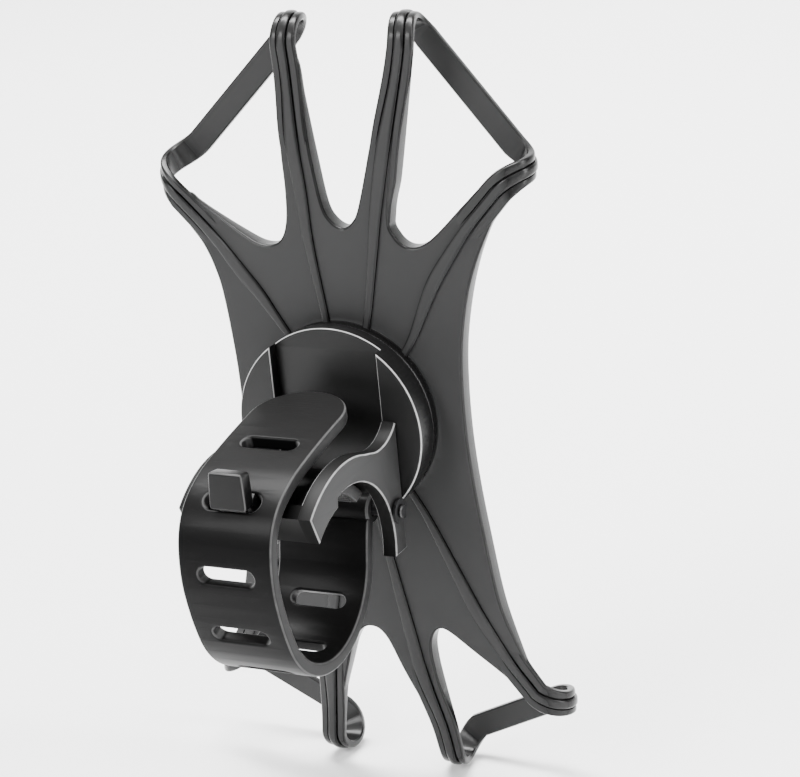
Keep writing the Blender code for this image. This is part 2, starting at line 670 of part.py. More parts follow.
def slot_cutter(line, lengths, normals, at, half_width):
    """A round-ended slot across the strap, cut square to its surface."""
    place = point_at(line, lengths, at)
    ahead = (point_at(line, lengths, at + 0.5) - point_at(line, lengths, at - 0.5)).normalized()
    out = Vector((ahead.y, -ahead.x)) * -1
    straight = SLOT_HALF_LENGTH - half_width
    rim = []
    for side, first in ((1, -90), (-1, 90)):
        for step in range(7):
            turn = math.radians(first + 30 * step)
            rim.append((side * straight + half_width * math.cos(turn), half_width * math.sin(turn)))
    points = []
    for depth in (-STRAP_THICKNESS - 2, 2):
        for x, along in rim:
            p = place + ahead * along + out * depth
            points.append((x, p.x, p.y))
    count = len(rim)
    faces = [tuple(range(count)), tuple(range(count, 2 * count))]
    faces += [(i, (i + 1) % count, count + (i + 1) % count, count + i) for i in range(count)]
    return add_mesh("cut", points, faces)


def strap_pin():
    """The steel cross pin through both side walls and the strap's eye."""
    start, end = SADDLE_SIDES
    profile = [
        (start - 1.1, 0), (start - 1.1, 1.7), (start - 0.8, 2.1), (start - 0.15, 2.1), (start - 0.15, PIN_RADIUS),
        (end + 0.35, PIN_RADIUS), (end + 0.35, 0.95), (end + 0.95, 0.95), (end + 0.95, PIN_RADIUS),
        (end + 1.3, PIN_RADIUS), (end + 1.5, 1.0), (end + 1.5, 0),
    ]
    return turned("strap_pin", profile, centre=PIN_PLACE, along="X", steps=20, look="steel")


def pin_clip():
    """The open clip in the pin's groove."""
    outer = arc(PIN_PLACE, 2.5, -145, 145, 14)
    inner = arc(PIN_PLACE, 1.1, 145, -145, 14)
    low = SADDLE_SIDES[1] + 0.43
    return prism("pin_clip", outer + inner, low, low + 0.44, look="steel")


def main():
    for obj in list(bpy.data.objects):
        bpy.data.objects.remove(obj)
    pivot = bpy.data.objects.new("swivel_axis", None)
    bpy.context.scene.collection.objects.link(pivot)
    pivot.location = Vector(PHONE_FROM_BAR) * MM
    for build in (cradle_web, cradle_hub, clamp_ring, clamp_screws, phone_pad):
        build(pivot)
    for build in (base_disc, thrust_washer, wave_spring, swivel_fixings, base_screws):
        build(pivot)
    for build in (saddle, bar_liner, strap, strap_pin, pin_clip):
        build()


main()
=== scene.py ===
import math

import bmesh
import bpy
from mathutils import Matrix, Vector


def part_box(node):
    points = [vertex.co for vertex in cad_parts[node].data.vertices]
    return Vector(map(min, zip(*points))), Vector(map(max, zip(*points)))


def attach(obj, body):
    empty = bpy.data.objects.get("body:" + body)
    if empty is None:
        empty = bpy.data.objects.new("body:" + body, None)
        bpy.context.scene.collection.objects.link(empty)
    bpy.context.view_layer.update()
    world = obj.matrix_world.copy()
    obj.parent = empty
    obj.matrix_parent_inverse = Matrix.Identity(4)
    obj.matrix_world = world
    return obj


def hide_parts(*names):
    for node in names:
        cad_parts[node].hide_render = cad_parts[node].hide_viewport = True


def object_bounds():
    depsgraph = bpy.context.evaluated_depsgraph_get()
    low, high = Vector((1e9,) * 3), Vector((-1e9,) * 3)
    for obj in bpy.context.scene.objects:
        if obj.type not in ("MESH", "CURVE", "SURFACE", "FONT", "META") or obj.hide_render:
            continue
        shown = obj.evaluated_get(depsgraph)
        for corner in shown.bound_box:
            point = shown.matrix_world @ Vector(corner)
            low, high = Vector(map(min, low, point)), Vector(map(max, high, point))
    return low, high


mm = 0.001
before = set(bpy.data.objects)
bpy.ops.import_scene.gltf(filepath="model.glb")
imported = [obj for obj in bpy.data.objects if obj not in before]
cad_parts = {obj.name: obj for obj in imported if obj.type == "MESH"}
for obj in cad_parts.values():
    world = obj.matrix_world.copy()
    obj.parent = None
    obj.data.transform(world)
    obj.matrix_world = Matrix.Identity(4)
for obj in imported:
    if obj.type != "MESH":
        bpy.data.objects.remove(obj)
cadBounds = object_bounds()


# Places, all from the frame, in millimetres
def boxOf(node):
    return [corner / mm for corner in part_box(node)]


discLow, discHigh = boxOf("base_disc")
padLow, padHigh = boxOf("phone_pad")
turnX, turnZ = (discLow.x + discHigh.x) / 2, (discLow.z + discHigh.z) / 2  # the swivel's axis
phone = {"width": 75.7, "height": 150.9, "depth": 8.3}
phoneY = padHigh.y + phone["depth"] / 2
centre = Vector((turnX, phoneY, turnZ))  # the phone's own centre


def newObject(name, mesh):
    obj = bpy.data.objects.new(name, mesh)
    bpy.context.scene.collection.objects.link(obj)
    return obj


def shadeByAngle(obj, angle=38):
    obj.data.shade_smooth()
    obj.data.set_sharp_from_angle(angle=math.radians(angle))
    return obj


def faceOutwards(bm):
    bmesh.ops.recalc_face_normals(bm, faces=bm.faces)
    if bm.calc_volume(signed=True) < 0:
        bmesh.ops.reverse_faces(bm, faces=bm.faces)


def meshFromPoints(name, points, faces, angle=38):
    # points in millimetres; the faces are turned outwards
    mesh = bpy.data.meshes.new(name)
    bm = bmesh.new()
    corners = [bm.verts.new(Vector(p) * mm) for p in points]
    for face in faces:
        bm.faces.new([corners[i] for i in face])
    faceOutwards(bm)
    bm.to_mesh(mesh)
    bm.free()
    return shadeByAngle(newObject(name, mesh), angle)


def ringFaces(rings, size, closed=False):
    # quads between rings of the same size, with end caps unless closed
    faces = [] if closed else [tuple(range(size)), tuple(range((rings - 1) * size, rings * size))]
    for ring in range(rings if closed else rings - 1):
        after = (ring + 1) % rings
        for side in range(size):
            turn = (side + 1) % size
            faces.append((ring * size + side, ring * size + turn, after * size + turn, after * size + side))
    return faces


def turnedPiece(name, profile, middle, along="Y", steps=144, angle=38):
    # a closed profile of (distance along the axis, radius) turned round the axis through middle
    points, rings = [], []
    for depth, radius in profile:
        ring = []
        for step in range(steps if radius > 0 else 1):
            turn = 2 * math.pi * step / steps
            a, b = middle[0] + radius * math.cos(turn), middle[1] + radius * math.sin(turn)
            ring.append(len(points))
            points.append((depth, a, b) if along == "X" else (a, depth, b))
        rings.append(ring)
    solid = len(rings[0]) == 1
    faces = []
    for first, second in zip(rings, rings[1:] + ([] if solid else rings[:1])):
        for step in range(steps):
            after = (step + 1) % steps
            corners = [first[step % len(first)], first[after % len(first)]]
            corners += [second[after % len(second)], second[step % len(second)]]
            faces.append(tuple(dict.fromkeys(corners)))
    return meshFromPoints(name, points, faces, angle)


def roundedPlate(name, outlines, low, high, roundness, plane="xz", segments=4, angle=38):
    # a flat outline, with holes, pushed from low to high with rounded edges, by a filled curve and its bevel
    curve = bpy.data.curves.new(name, "CURVE")
    curve.dimensions = "2D"
    curve.fill_mode = "BOTH"
    curve.extrude = ((high - low) / 2 - roundness) * mm
    curve.bevel_depth = roundness * mm
    curve.bevel_resolution = segments
    curve.offset = -roundness * mm
    for outline in outlines:
        spline = curve.splines.new("POLY")
        spline.points.add(len(outline) - 1)
        for point, (a, b) in zip(spline.points, outline):
            point.co = (a * mm, b * mm, 0, 1)
        spline.use_cyclic_u = True
    holder = newObject(name, curve)
    mesh = bpy.data.meshes.new_from_object(holder.evaluated_get(bpy.context.evaluated_depsgraph_get()))
    bpy.data.objects.remove(holder)
    middle = (low + high) / 2 * mm
    for vertex in mesh.vertices:
        a, b, c = vertex.co
        vertex.co = (a, middle + c, b) if plane == "xz" else (middle + c, a, b)
    bm = bmesh.new()
    bm.from_mesh(mesh)
    bmesh.ops.remove_doubles(bm, verts=bm.verts, dist=1e-6)
    faceOutwards(bm)
    bm.to_mesh(mesh)
    bm.free()
    return shadeByAngle(newObject(name, mesh), angle)


def sliced(obj, way, start, end, step):
    # extra edge loops square to an axis, so that a flat piece can bend
    bm = bmesh.new()
    bm.from_mesh(obj.data)
    for i in range(int((end - start) / step) + 1):
        everything = bm.verts[:] + bm.edges[:] + bm.faces[:]
        place = Vector(way) * (start + i * step) * mm
        bmesh.ops.bisect_plane(bm, geom=everything, dist=1e-7, plane_co=place, plane_no=way)
    bm.to_mesh(obj.data)
    bm.free()


def openEdges(obj):
    bm = bmesh.new()
    bm.from_mesh(obj.data)
    found = sum(len(edge.link_faces) != 2 for edge in bm.edges)
    bm.free()
    return found


def applied(obj):
    # the object's evaluated mesh becomes its own, and its modifiers go
    mesh = bpy.data.meshes.new_from_object(obj.evaluated_get(bpy.context.evaluated_depsgraph_get()))
    obj.modifiers.clear()
    obj.data = mesh
    return obj


def united(obj, others, operation="UNION", angle=38):
    # one closed piece from several, or one with the others cut away
    for other in others:
        before = obj.data
        modifier = obj.modifiers.new("join", "BOOLEAN")
        modifier.operation = operation
        modifier.object = other
        modifier.solver = "MANIFOLD"
        applied(obj)
        left = openEdges(obj)
        if left:
            print("  left open:", obj.name, other.name, left)
            obj.data = before
            if operation == "UNION":
                bm = bmesh.new()
                bm.from_mesh(before)
                bm.from_mesh(other.data)
                bm.to_mesh(before)
                bm.free()
        bpy.data.objects.remove(other)
    return shadeByAngle(obj, angle)


def arcPoints(middle, radius, start, end, steps):
    # on a circle in (y, z): angles start at its top, and forwards, to -Y, is positive
    points = []
    for step in range(steps + 1):
        angle = math.radians(start + (end - start) * step / steps)
        points.append((middle[0] - radius * math.sin(angle), middle[1] + radius * math.cos(angle)))
    return points


def smoothLine(points, steps, closed=False):
    # a Catmull-Rom curve through the points
    count = len(points)
    line = []
    for i in range(count if closed else count - 1):
        if closed:
            corners = [points[(i + k) % count] for k in (-1, 0, 1, 2)]
        else:
            corners = [points[min(max(i + k, 0), count - 1)] for k in (-1, 0, 1, 2)]
        for step in range(steps):
            t = step / steps
            line.append(
                tuple(
                    0.5 * (2 * q + (r - p) * t + (2 * p - 5 * q + 4 * r - s) * t**2 + (3 * q - p - 3 * r + s) * t**3)
                    for p, q, r, s in zip(*corners)
                )
            )
    return line if closed else line + [points[-1]]


def ease(value, start, end):
    t = min(1.0, max(0.0, (value - start) / (end - start)))
    return t * t * (3 - 2 * t)


def blendOf(a, b, t):
    return a + (b - a) * t


def newGroup(name, inputs, outputs):
    group = bpy.data.node_groups.new(name, "ShaderNodeTree")
    for label, kind, value in inputs:
        group.interface.new_socket(label, in_out="INPUT", socket_type=kind).default_value = value
    for label, kind in outputs:
        group.interface.new_socket(label, in_out="OUTPUT", socket_type=kind)
    return group, group.nodes.new("NodeGroupInput"), group.nodes.new("NodeGroupOutput")


def addNode(tree, kind, values=(), **settings):
    node = tree.nodes.new(kind)
    for key, value in settings.items():
        setattr(node, key, value)
    for key, value in dict(values).items():
        if isinstance(value, bpy.types.NodeSocket):
            tree.links.new(value, node.inputs[key])
        else:
            node.inputs[key].default_value = value
    return node


def buildSurfaceGrain():
    # fine moulded grain over a slow unevenness, as a height, with a mask of the slow part
    floats = [("Grain Scale", "NodeSocketFloat", 4000.0), ("Grain", "NodeSocketFloat", 0.5)]
    floats += [("Unevenness", "NodeSocketFloat", 0.5)]
    outputs = [("Height", "NodeSocketFloat"), ("Clouds", "NodeSocketFloat")]
    group, inside, out = newGroup("surfaceGrain", floats, outputs)
    place = addNode(group, "ShaderNodeTexCoord")
    fine = addNode(
        group, "ShaderNodeTexNoise", {"Vector": place.outputs["Object"], "Scale": inside.outputs[0], "Detail": 2.0}
    )
    slow = addNode(
        group,
        "ShaderNodeTexNoise",
        {"Vector": place.outputs["Object"], "Scale": 55.0, "Detail": 3.0, "Roughness": 0.55},
    )
    grain = addNode(group, "ShaderNodeMath", {0: fine.outputs["Fac"], 1: inside.outputs[1]}, operation="MULTIPLY")
    swell = addNode(group, "ShaderNodeMath", {0: slow.outputs["Fac"], 1: inside.outputs[2]}, operation="MULTIPLY")
    height = addNode(group, "ShaderNodeMath", {0: grain.outputs[0], 1: swell.outputs[0]}, operation="ADD")
    group.links.new(height.outputs[0], out.inputs["Height"])
    group.links.new(slow.outputs["Fac"], out.inputs["Clouds"])
    return group


def facing(group, axis):
    # how squarely a surface faces along an axis, from 0 to 1
    shape = addNode(group, "ShaderNodeNewGeometry")
    dot = addNode(group, "ShaderNodeVectorMath", {0: shape.outputs["Normal"], 1: axis}, operation="DOT_PRODUCT")
    return addNode(group, "ShaderNodeMath", {0: dot.outputs["Value"]}, operation="ABSOLUTE").outputs[0]


def buildEdgeHighlightAndWear():
    # a mask of the rounded edges between a broad face and its wall, broken up by noise; the finishes paint a pale
    # highlight there, which on steel also stands for wear
    inputs = [("Axis", "NodeSocketVector", (0, 1, 0)), ("Amount", "NodeSocketFloat", 0.5)]
    group, inside, out = newGroup("edgeHighlightAndWear", inputs, [("Mask", "NodeSocketFloat")])
    place = addNode(group, "ShaderNodeTexCoord")
    square = facing(group, inside.outputs[0])
    noise = addNode(group, "ShaderNodeTexNoise", {"Vector": place.outputs["Object"], "Scale": 420.0, "Detail": 3.0})
    low = addNode(group, "ShaderNodeMapRange", {"Value": square, "From Min": 0.25, "From Max": 0.5})
    high = addNode(group, "ShaderNodeMapRange", {"Value": square, "From Min": 0.97, "From Max": 0.82})
    broken = addNode(
        group, "ShaderNodeMapRange", {"Value": noise.outputs["Fac"], "From Min": 0.25, "From Max": 0.55, "To Min": 0.6}
    )
    edge = addNode(group, "ShaderNodeMath", {0: low.outputs[0], 1: high.outputs[0]}, operation="MULTIPLY")
    product = addNode(group, "ShaderNodeMath", {0: edge.outputs[0], 1: broken.outputs[0]}, operation="MULTIPLY")
    scaled = addNode(group, "ShaderNodeMath", {0: product.outputs[0], 1: inside.outputs[1]}, operation="MULTIPLY")
    group.links.new(scaled.outputs[0], out.inputs["Mask"])
    return group


def buildDust():
    # pale specks and a faint film on what faces up
    inputs = [("Film", "NodeSocketFloat", 0.3), ("Specks", "NodeSocketFloat", 0.3)]
    group, inside, out = newGroup("dust", inputs, [("Mask", "NodeSocketFloat")])
    place = addNode(group, "ShaderNodeTexCoord")
    shape = addNode(group, "ShaderNodeNewGeometry")
    split = addNode(group, "ShaderNodeSeparateXYZ", {0: shape.outputs["Normal"]})
    up = addNode(group, "ShaderNodeMapRange", {"Value": split.outputs["Z"], "From Min": 0.1, "From Max": 1.0})
    film = addNode(group, "ShaderNodeMath", {0: up.outputs[0], 1: inside.outputs[0]}, operation="MULTIPLY")
    specks = addNode(group, "ShaderNodeTexVoronoi", {"Vector": place.outputs["Object"], "Scale": 900.0})
    dots = addNode(
        group,
        "ShaderNodeMapRange",
        {"Value": specks.outputs["Distance"], "From Min": 0.1, "From Max": 0.03, "To Max": inside.outputs[1]},
    )
    total = addNode(group, "ShaderNodeMath", {0: film.outputs[0], 1: dots.outputs[0]}, operation="ADD", use_clamp=True)
    group.links.new(total.outputs[0], out.inputs["Mask"])
    return group


def buildFlatFace():
    # a mask of the broad faces square to an axis: they keep the etched colour, and the walls round them get a much
    # darker colour of painted shade and a roughness of their own
    inputs = [("Axis", "NodeSocketVector", (0, 1, 0)), ("Start", "NodeSocketFloat", 0.9)]
    inputs += [("End", "NodeSocketFloat", 0.985)]
    group, inside, out = newGroup("flatFace", inputs, [("Mask", "NodeSocketFloat")])
    square = facing(group, inside.outputs[0])
    face = addNode(
        group, "ShaderNodeMapRange", {"Value": square, "From Min": inside.outputs[1], "From Max": inside.outputs[2]}
    )
    group.links.new(face.outputs[0], out.inputs["Mask"])
    return group


surfaceGrain = buildSurfaceGrain()
flatFace = buildFlatFace()
edgeHighlightAndWear = buildEdgeHighlightAndWear()
dust = buildDust()


def groupNode(tree, group, **values):
    node = tree.nodes.new("ShaderNodeGroup")
    node.node_tree = group
    for label, value in values.items():
        node.inputs[label.replace("_", " ")].default_value = value
    return node


def mixColour(tree, mask, dark, light):
    node = addNode(tree, "ShaderNodeMix", data_type="RGBA")
    tree.links.new(mask, node.inputs[0])
    for slot, value in ((6, dark), (7, light)):
        if isinstance(value, bpy.types.NodeSocket):
            tree.links.new(value, node.inputs[slot])
        else:
            node.inputs[slot].default_value = (*value, 1)
    return node.outputs[2]


# each finish: etched colours of the broad faces, a much darker wall colour that is painted shade, a paler edge colour
# that is a painted highlight broken up like wear, roughness, grain and dust
finishes = {
    "blackSilicone": {
        "etched": ((0.028, 0.028, 0.0283), (0.035, 0.035, 0.0353)), "paintedWallShade": (0.0035, 0.0035, 0.0036),
        "highlightAndWornColour": (0.05, 0.05, 0.05), "axis": (0, 1, 0), "rough": (0.5, 0.58), "polishedRough": 0.24,
        "specular": 0.15, "grainScale": 5200.0, "grain": 0.25, "swell": 0.4, "bump": 0.00003, "edge": 0.3,
        "film": 0.02, "specks": 0.03,
    },
    "strapSilicone": {
        "etched": ((0.016, 0.016, 0.0162), (0.022, 0.022, 0.0222)), "paintedWallShade": (0.0035, 0.0035, 0.0036),
        "highlightAndWornColour": (0.12, 0.12, 0.12), "axis": (1, 0, 0), "rough": (0.4, 0.46), "polishedRough": 0.36,
        "specular": 0.06, "grainScale": 5200.0, "grain": 0.2, "swell": 0.4, "bump": 0.00003, "edge": 0.55,
        "film": 0.02, "specks": 0.04,
    },
    "discPlastic": {
        "etched": ((0.006, 0.006, 0.0061), (0.009, 0.009, 0.0091)), "paintedWallShade": (0.002, 0.002, 0.0021),
        "highlightAndWornColour": (0.45, 0.45, 0.45), "axis": (0, 1, 0), "rough": (0.3, 0.38), "polishedRough": 0.36,
        "specular": 0.26, "grainScale": 7000.0, "grain": 0.2, "swell": 0.3, "bump": 0.00002, "edge": 0.9,
        "film": 0.02, "specks": 0.02,
    },
    "hookPlastic": {
        "etched": ((0.006, 0.006, 0.0061), (0.009, 0.009, 0.0091)), "paintedWallShade": (0.002, 0.002, 0.0021),
        "highlightAndWornColour": (0.07, 0.07, 0.07), "axis": (0, 1, 0), "rough": (0.3, 0.36), "polishedRough": 0.28,
        "specular": 0.15, "grainScale": 7000.0, "grain": 0.2, "swell": 0.3, "bump": 0.00002, "edge": 0.9,
        "film": 0.02, "specks": 0.02,
    },
    "saddlePlastic": {
        "etched": ((0.0145, 0.0145, 0.0147), (0.019, 0.019, 0.0192)), "paintedWallShade": (0.0008, 0.0008, 0.0008),
        "highlightAndWornColour": (0.3, 0.3, 0.3), "axis": (1, 0, 0), "rough": (0.42, 0.5), "polishedRough": 0.5,
        "specular": 0.13, "grainScale": 7000.0, "grain": 0.2, "swell": 0.3, "bump": 0.00002, "edge": 0.8,
        "film": 0.01, "specks": 0.02,
    },
    "softRubber": {
        "etched": ((0.014, 0.014, 0.0142), (0.02, 0.02, 0.0202)), "paintedWallShade": (0.008, 0.008, 0.0082),
        "highlightAndWornColour": (0.06, 0.06, 0.06), "axis": (0, 1, 0), "rough": (0.62, 0.74), "polishedRough": 0.55,
        "specular": 0.32, "grainScale": 3800.0, "grain": 0.6, "swell": 0.5, "bump": 0.00005, "edge": 0.3,
        "film": 0.06, "specks": 0.06,
    },
    "paleNylon": {
        "etched": ((0.6, 0.59, 0.55), (0.68, 0.67, 0.63)), "paintedWallShade": (0.6, 0.59, 0.55),
        "highlightAndWornColour": (0.75, 0.74, 0.7), "axis": (0, 1, 0), "rough": (0.4, 0.5), "polishedRough": 0.35,
        "specular": 0.5, "grainScale": 5200.0, "grain": 0.2, "swell": 0.4, "bump": 0.00002, "edge": 0.2,
        "film": 0.0, "specks": 0.0,
    },
}


def softFinish(name):
    # one moulded finish: etched broad faces, walls in a much darker colour that is painted shade and with a roughness
    # of their own, a pale painted highlight on the rounded edges broken up by noise, a trace of dust, and grain
    look = finishes[name]
    made = bpy.data.materials.new(name)
    made.use_nodes = True
    tree = made.node_tree
    shader = tree.nodes["Principled BSDF"]
    grain = groupNode(tree, surfaceGrain, Grain_Scale=look["grainScale"], Grain=look["grain"], Unevenness=look["swell"])
    face = groupNode(tree, flatFace, Axis=look["axis"])
    highlightAndWear = groupNode(tree, edgeHighlightAndWear, Axis=look["axis"], Amount=look["edge"])
    settled = groupNode(tree, dust, Film=look["film"], Specks=look["specks"])
    colour = mixColour(tree, grain.outputs["Clouds"], *look["etched"])
    # the walls take a much darker colour: painted shade
    colour = mixColour(tree, face.outputs["Mask"], look["paintedWallShade"], colour)
    # the rounded edges take a paler colour: a painted highlight, broken up by noise
    colour = mixColour(tree, highlightAndWear.outputs["Mask"], colour, look["highlightAndWornColour"])
    colour = mixColour(tree, settled.outputs["Mask"], colour, (0.16, 0.155, 0.15))
    tree.links.new(colour, shader.inputs["Base Color"])
    low, high = look["rough"]
    rough = addNode(tree, "ShaderNodeMapRange", {"Value": grain.outputs["Clouds"], "To Min": low, "To Max": high})
    rough = addNode(
        tree,
        "ShaderNodeMapRange",
        {"Value": face.outputs["Mask"], "To Min": look["polishedRough"], "To Max": rough.outputs[0]},
    )
    tree.links.new(rough.outputs[0], shader.inputs["Roughness"])
    bump = addNode(tree, "ShaderNodeBump", {"Distance": look["bump"], "Height": grain.outputs["Height"]})
    tree.links.new(bump.outputs[0], shader.inputs["Normal"])
    shader.inputs["Specular IOR Level"].default_value = look["specular"]
    return made


def steelFinish(name, colour, rough, highlightAndWornColour, axis=(0, 1, 0)):
    # plated steel with turned lines, darker in slow random patches
    made = bpy.data.materials.new(name)
    made.use_nodes = True
    tree = made.node_tree
    shader = tree.nodes["Principled BSDF"]
    grain = groupNode(tree, surfaceGrain, Grain_Scale=2600.0, Grain=0.5, Unevenness=0.6)
    highlightAndWear = groupNode(tree, edgeHighlightAndWear, Axis=axis, Amount=0.7)
    base = mixColour(tree, grain.outputs["Clouds"], [c * 0.8 for c in colour], colour)
    # the rounded edges take a paler colour: partly worn plating, partly a painted highlight
    base = mixColour(tree, highlightAndWear.outputs["Mask"], base, highlightAndWornColour)
    tree.links.new(base, shader.inputs["Base Color"])
    spread = addNode(
        tree, "ShaderNodeMapRange", {"Value": grain.outputs["Clouds"], "To Min": rough, "To Max": rough + 0.15}
    )
    tree.links.new(spread.outputs[0], shader.inputs["Roughness"])
    bump = addNode(tree, "ShaderNodeBump", {"Distance": 0.00002, "Height": grain.outputs["Height"]})
    tree.links.new(bump.outputs[0], shader.inputs["Normal"])
    shader.inputs["Metallic"].default_value = 1.0
    return made


blackSilicone = softFinish("blackSilicone")
strapSilicone = softFinish("strapSilicone")
discPlastic = softFinish("discPlastic")
saddlePlastic = softFinish("saddlePlastic")
hookPlastic = softFinish("hookPlastic")
softRubber = softFinish("softRubber")
paleNylon = softFinish("paleNylon")
plainSteel = steelFinish("plainSteel", (0.55, 0.55, 0.56), 0.26, (0.8, 0.8, 0.8))
blackSteel = steelFinish("blackSteel", (0.025, 0.025, 0.026), 0.42, (0.08, 0.08, 0.08), (1, 0, 0))
print("finishes made")


def dress(obj, finish, body, nodes=()):
    # gives a finished piece its material and its place in the frame
    obj.data.materials.clear()
    obj.data.materials.append(finish)
    for polygon in obj.data.polygons:
        polygon.material_index = 0
    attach(obj, body)
    if nodes:
        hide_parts(*nodes)
    return obj


camera = {"place": (212.06, -356.89, 176.55), "right": (0.89886, 0.42872, -0.09077),
          "up": (-0.06321, 0.33181, 0.94123), "forward": (-0.43364, 0.84030, -0.32535), "lens": 108.99}


def makeCamera():
    lens = bpy.data.cameras.new("camera")
    lens.lens = camera["lens"]
    lens.sensor_width = 36
    lens.clip_start = 0.01
    holder = newObject("camera", lens)
    turn = Matrix([camera["right"], camera["up"], [-c for c in camera["forward"]]]).transposed()
    holder.matrix_world = Matrix.Translation(Vector(camera["place"]) * mm) @ turn.to_4x4()
    bpy.context.scene.camera = holder


def softLight(name, place, target, width, height, power):
    light = bpy.data.lights.new(name, "AREA")
    light.shape = "RECTANGLE"
    light.size, light.size_y = width, height
    light.energy = power
    holder = newObject(name, light)
    holder.location = place
    holder.rotation_euler = (Vector(target) - Vector(place)).to_track_quat("-Z", "Y").to_euler()


def makeStudio():
    world = bpy.data.worlds.new("studio")
    bpy.context.scene.world = world
    world.use_nodes = True
    world.node_tree.nodes["Background"].inputs["Color"].default_value = (1, 1, 1, 1)
    world.node_tree.nodes["Background"].inputs["Strength"].default_value = 0.32
    middle = centre * mm
    softLight("keyLight", (-0.45, -0.85, 0.7), middle, 0.5, 0.4, 16)
    softLight("topLight", (0.0, 0.05, 1.0), middle, 0.8, 0.5, 8)
    softLight("rimLight", (0.75, 0.1, 0.35), middle, 0.12, 0.9, 9)
    softLight("wallLight", (-0.3, 0.3, 1.3), (0, 1.4, 0.3), 1.2, 0.6, 105)
    # a floor that sweeps up behind
    low = cadBounds[0][2] - 0.0006
    line = [(-3.0, low), (1.2, low)] + [
        (1.2 + 0.6 * math.sin(math.radians(a)), low + 0.6 - 0.6 * math.cos(math.radians(a))) for a in range(6, 90, 6)
    ] + [(1.8, low + 0.6), (1.8, low + 2.6)]
    points = [(x / mm, y / mm, z / mm) for x in (-3.0, 3.0) for y, z in line]
    count = len(line)
    floor = meshFromPoints("floor", points, [(i, i + 1, count + i + 1, count + i) for i in range(count - 1)], 60)
    pale = bpy.data.materials.new("paleFloor")
    pale.use_nodes = True
    pale.node_tree.nodes["Principled BSDF"].inputs["Base Color"].default_value = (0.93, 0.93, 0.93, 1)
    pale.node_tree.nodes["Principled BSDF"].inputs["Roughness"].default_value = 0.8
    floor.data.materials.append(pale)


makeCamera()
makeStudio()
print("camera and studio set")


web = {
    "thick": 3.7, "edgeRound": 0.6, "seatRadius": 17.3, "boreRadius": 11.3, "bandGap": 0.05,
    "tipThick": 1.15, "landRise": 0.32, "ribRise": 0.5, "grooveDepth": 0.42, "grooveWidth": 0.3,
    "endHalf": 2.6, "frontHalf": 2.5, "ribHalf": (0.95, 1.4, 0.8), "taper": (2.0, 22.0), "endSink": (13.0, 24.0),
    "sideSink": (6.0, 13.0),
}

# the flat web's outline round the phone's centre, as (across, up)
webOutline = [
    (-9.2, 69.6), (-9.1, 62.0), (-9.0, 53.0), (-8.9, 44.0), (-9.6, 37.6), (-11.6, 34.2), (-15.4, 33.7),
    (-20.5, 36.0), (-26.6, 39.4), (-29.6, 41.3), (-31.7, 42.7),
    (-34.3, 40.5), (-32.8, 37.0), (-29.2, 32.7), (-26.7, 28.2), (-25.2, 23.4), (-24.3, 15.0), (-23.8, 6.0),
    (-23.9, -4.0),
    (-24.8, -16.0), (-26.4, -30.0), (-28.6, -40.0), (-31.6, -48.4), (-33.6, -54.0),
    (-32.6, -59.2), (-29.6, -55.6), (-23.0, -49.6), (-17.2, -45.0), (-14.6, -44.0), (-12.4, -46.4),
    (-12.4, -52.0), (-13.5, -62.0), (-14.6, -69.6),
    (-10.4, -69.6), (-8.7, -62.0), (-6.2, -54.6), (-4.2, -49.0), (-2.0, -46.0), (0.2, -45.2), (2.4, -46.2),
    (4.6, -50.0), (9.1, -61.6), (11.6, -69.6),
    (15.8, -69.6), (14.6, -61.0), (13.2, -52.0), (13.2, -47.0), (14.9, -44.2), (17.6, -44.8),
    (23.0, -49.6), (29.6, -55.8), (32.6, -59.6),
    (33.6, -54.4), (31.8, -48.4), (28.8, -37.0), (26.9, -24.0), (25.6, -13.0), (24.9, -3.0), (24.9, 7.0),
    (25.6, 16.0), (27.4, 25.0), (29.6, 32.2), (32.1, 38.0), (34.6, 42.4),
    (33.4, 47.6), (30.9, 45.8), (26.8, 41.8), (20.4, 35.6), (16.4, 34.2), (13.5, 36.2), (12.6, 40.6),
    (15.3, 55.5), (17.5, 65.0), (18.5, 69.6),
    (14.4, 69.6), (12.9, 64.0), (11.0, 57.4), (8.6, 48.9), (6.2, 41.3), (4.8, 38.8), (2.8, 37.5), (0.4, 38.8),
    (-1.2, 42.0), (-2.5, 51.0), (-3.9, 62.0), (-4.9, 69.6),
]

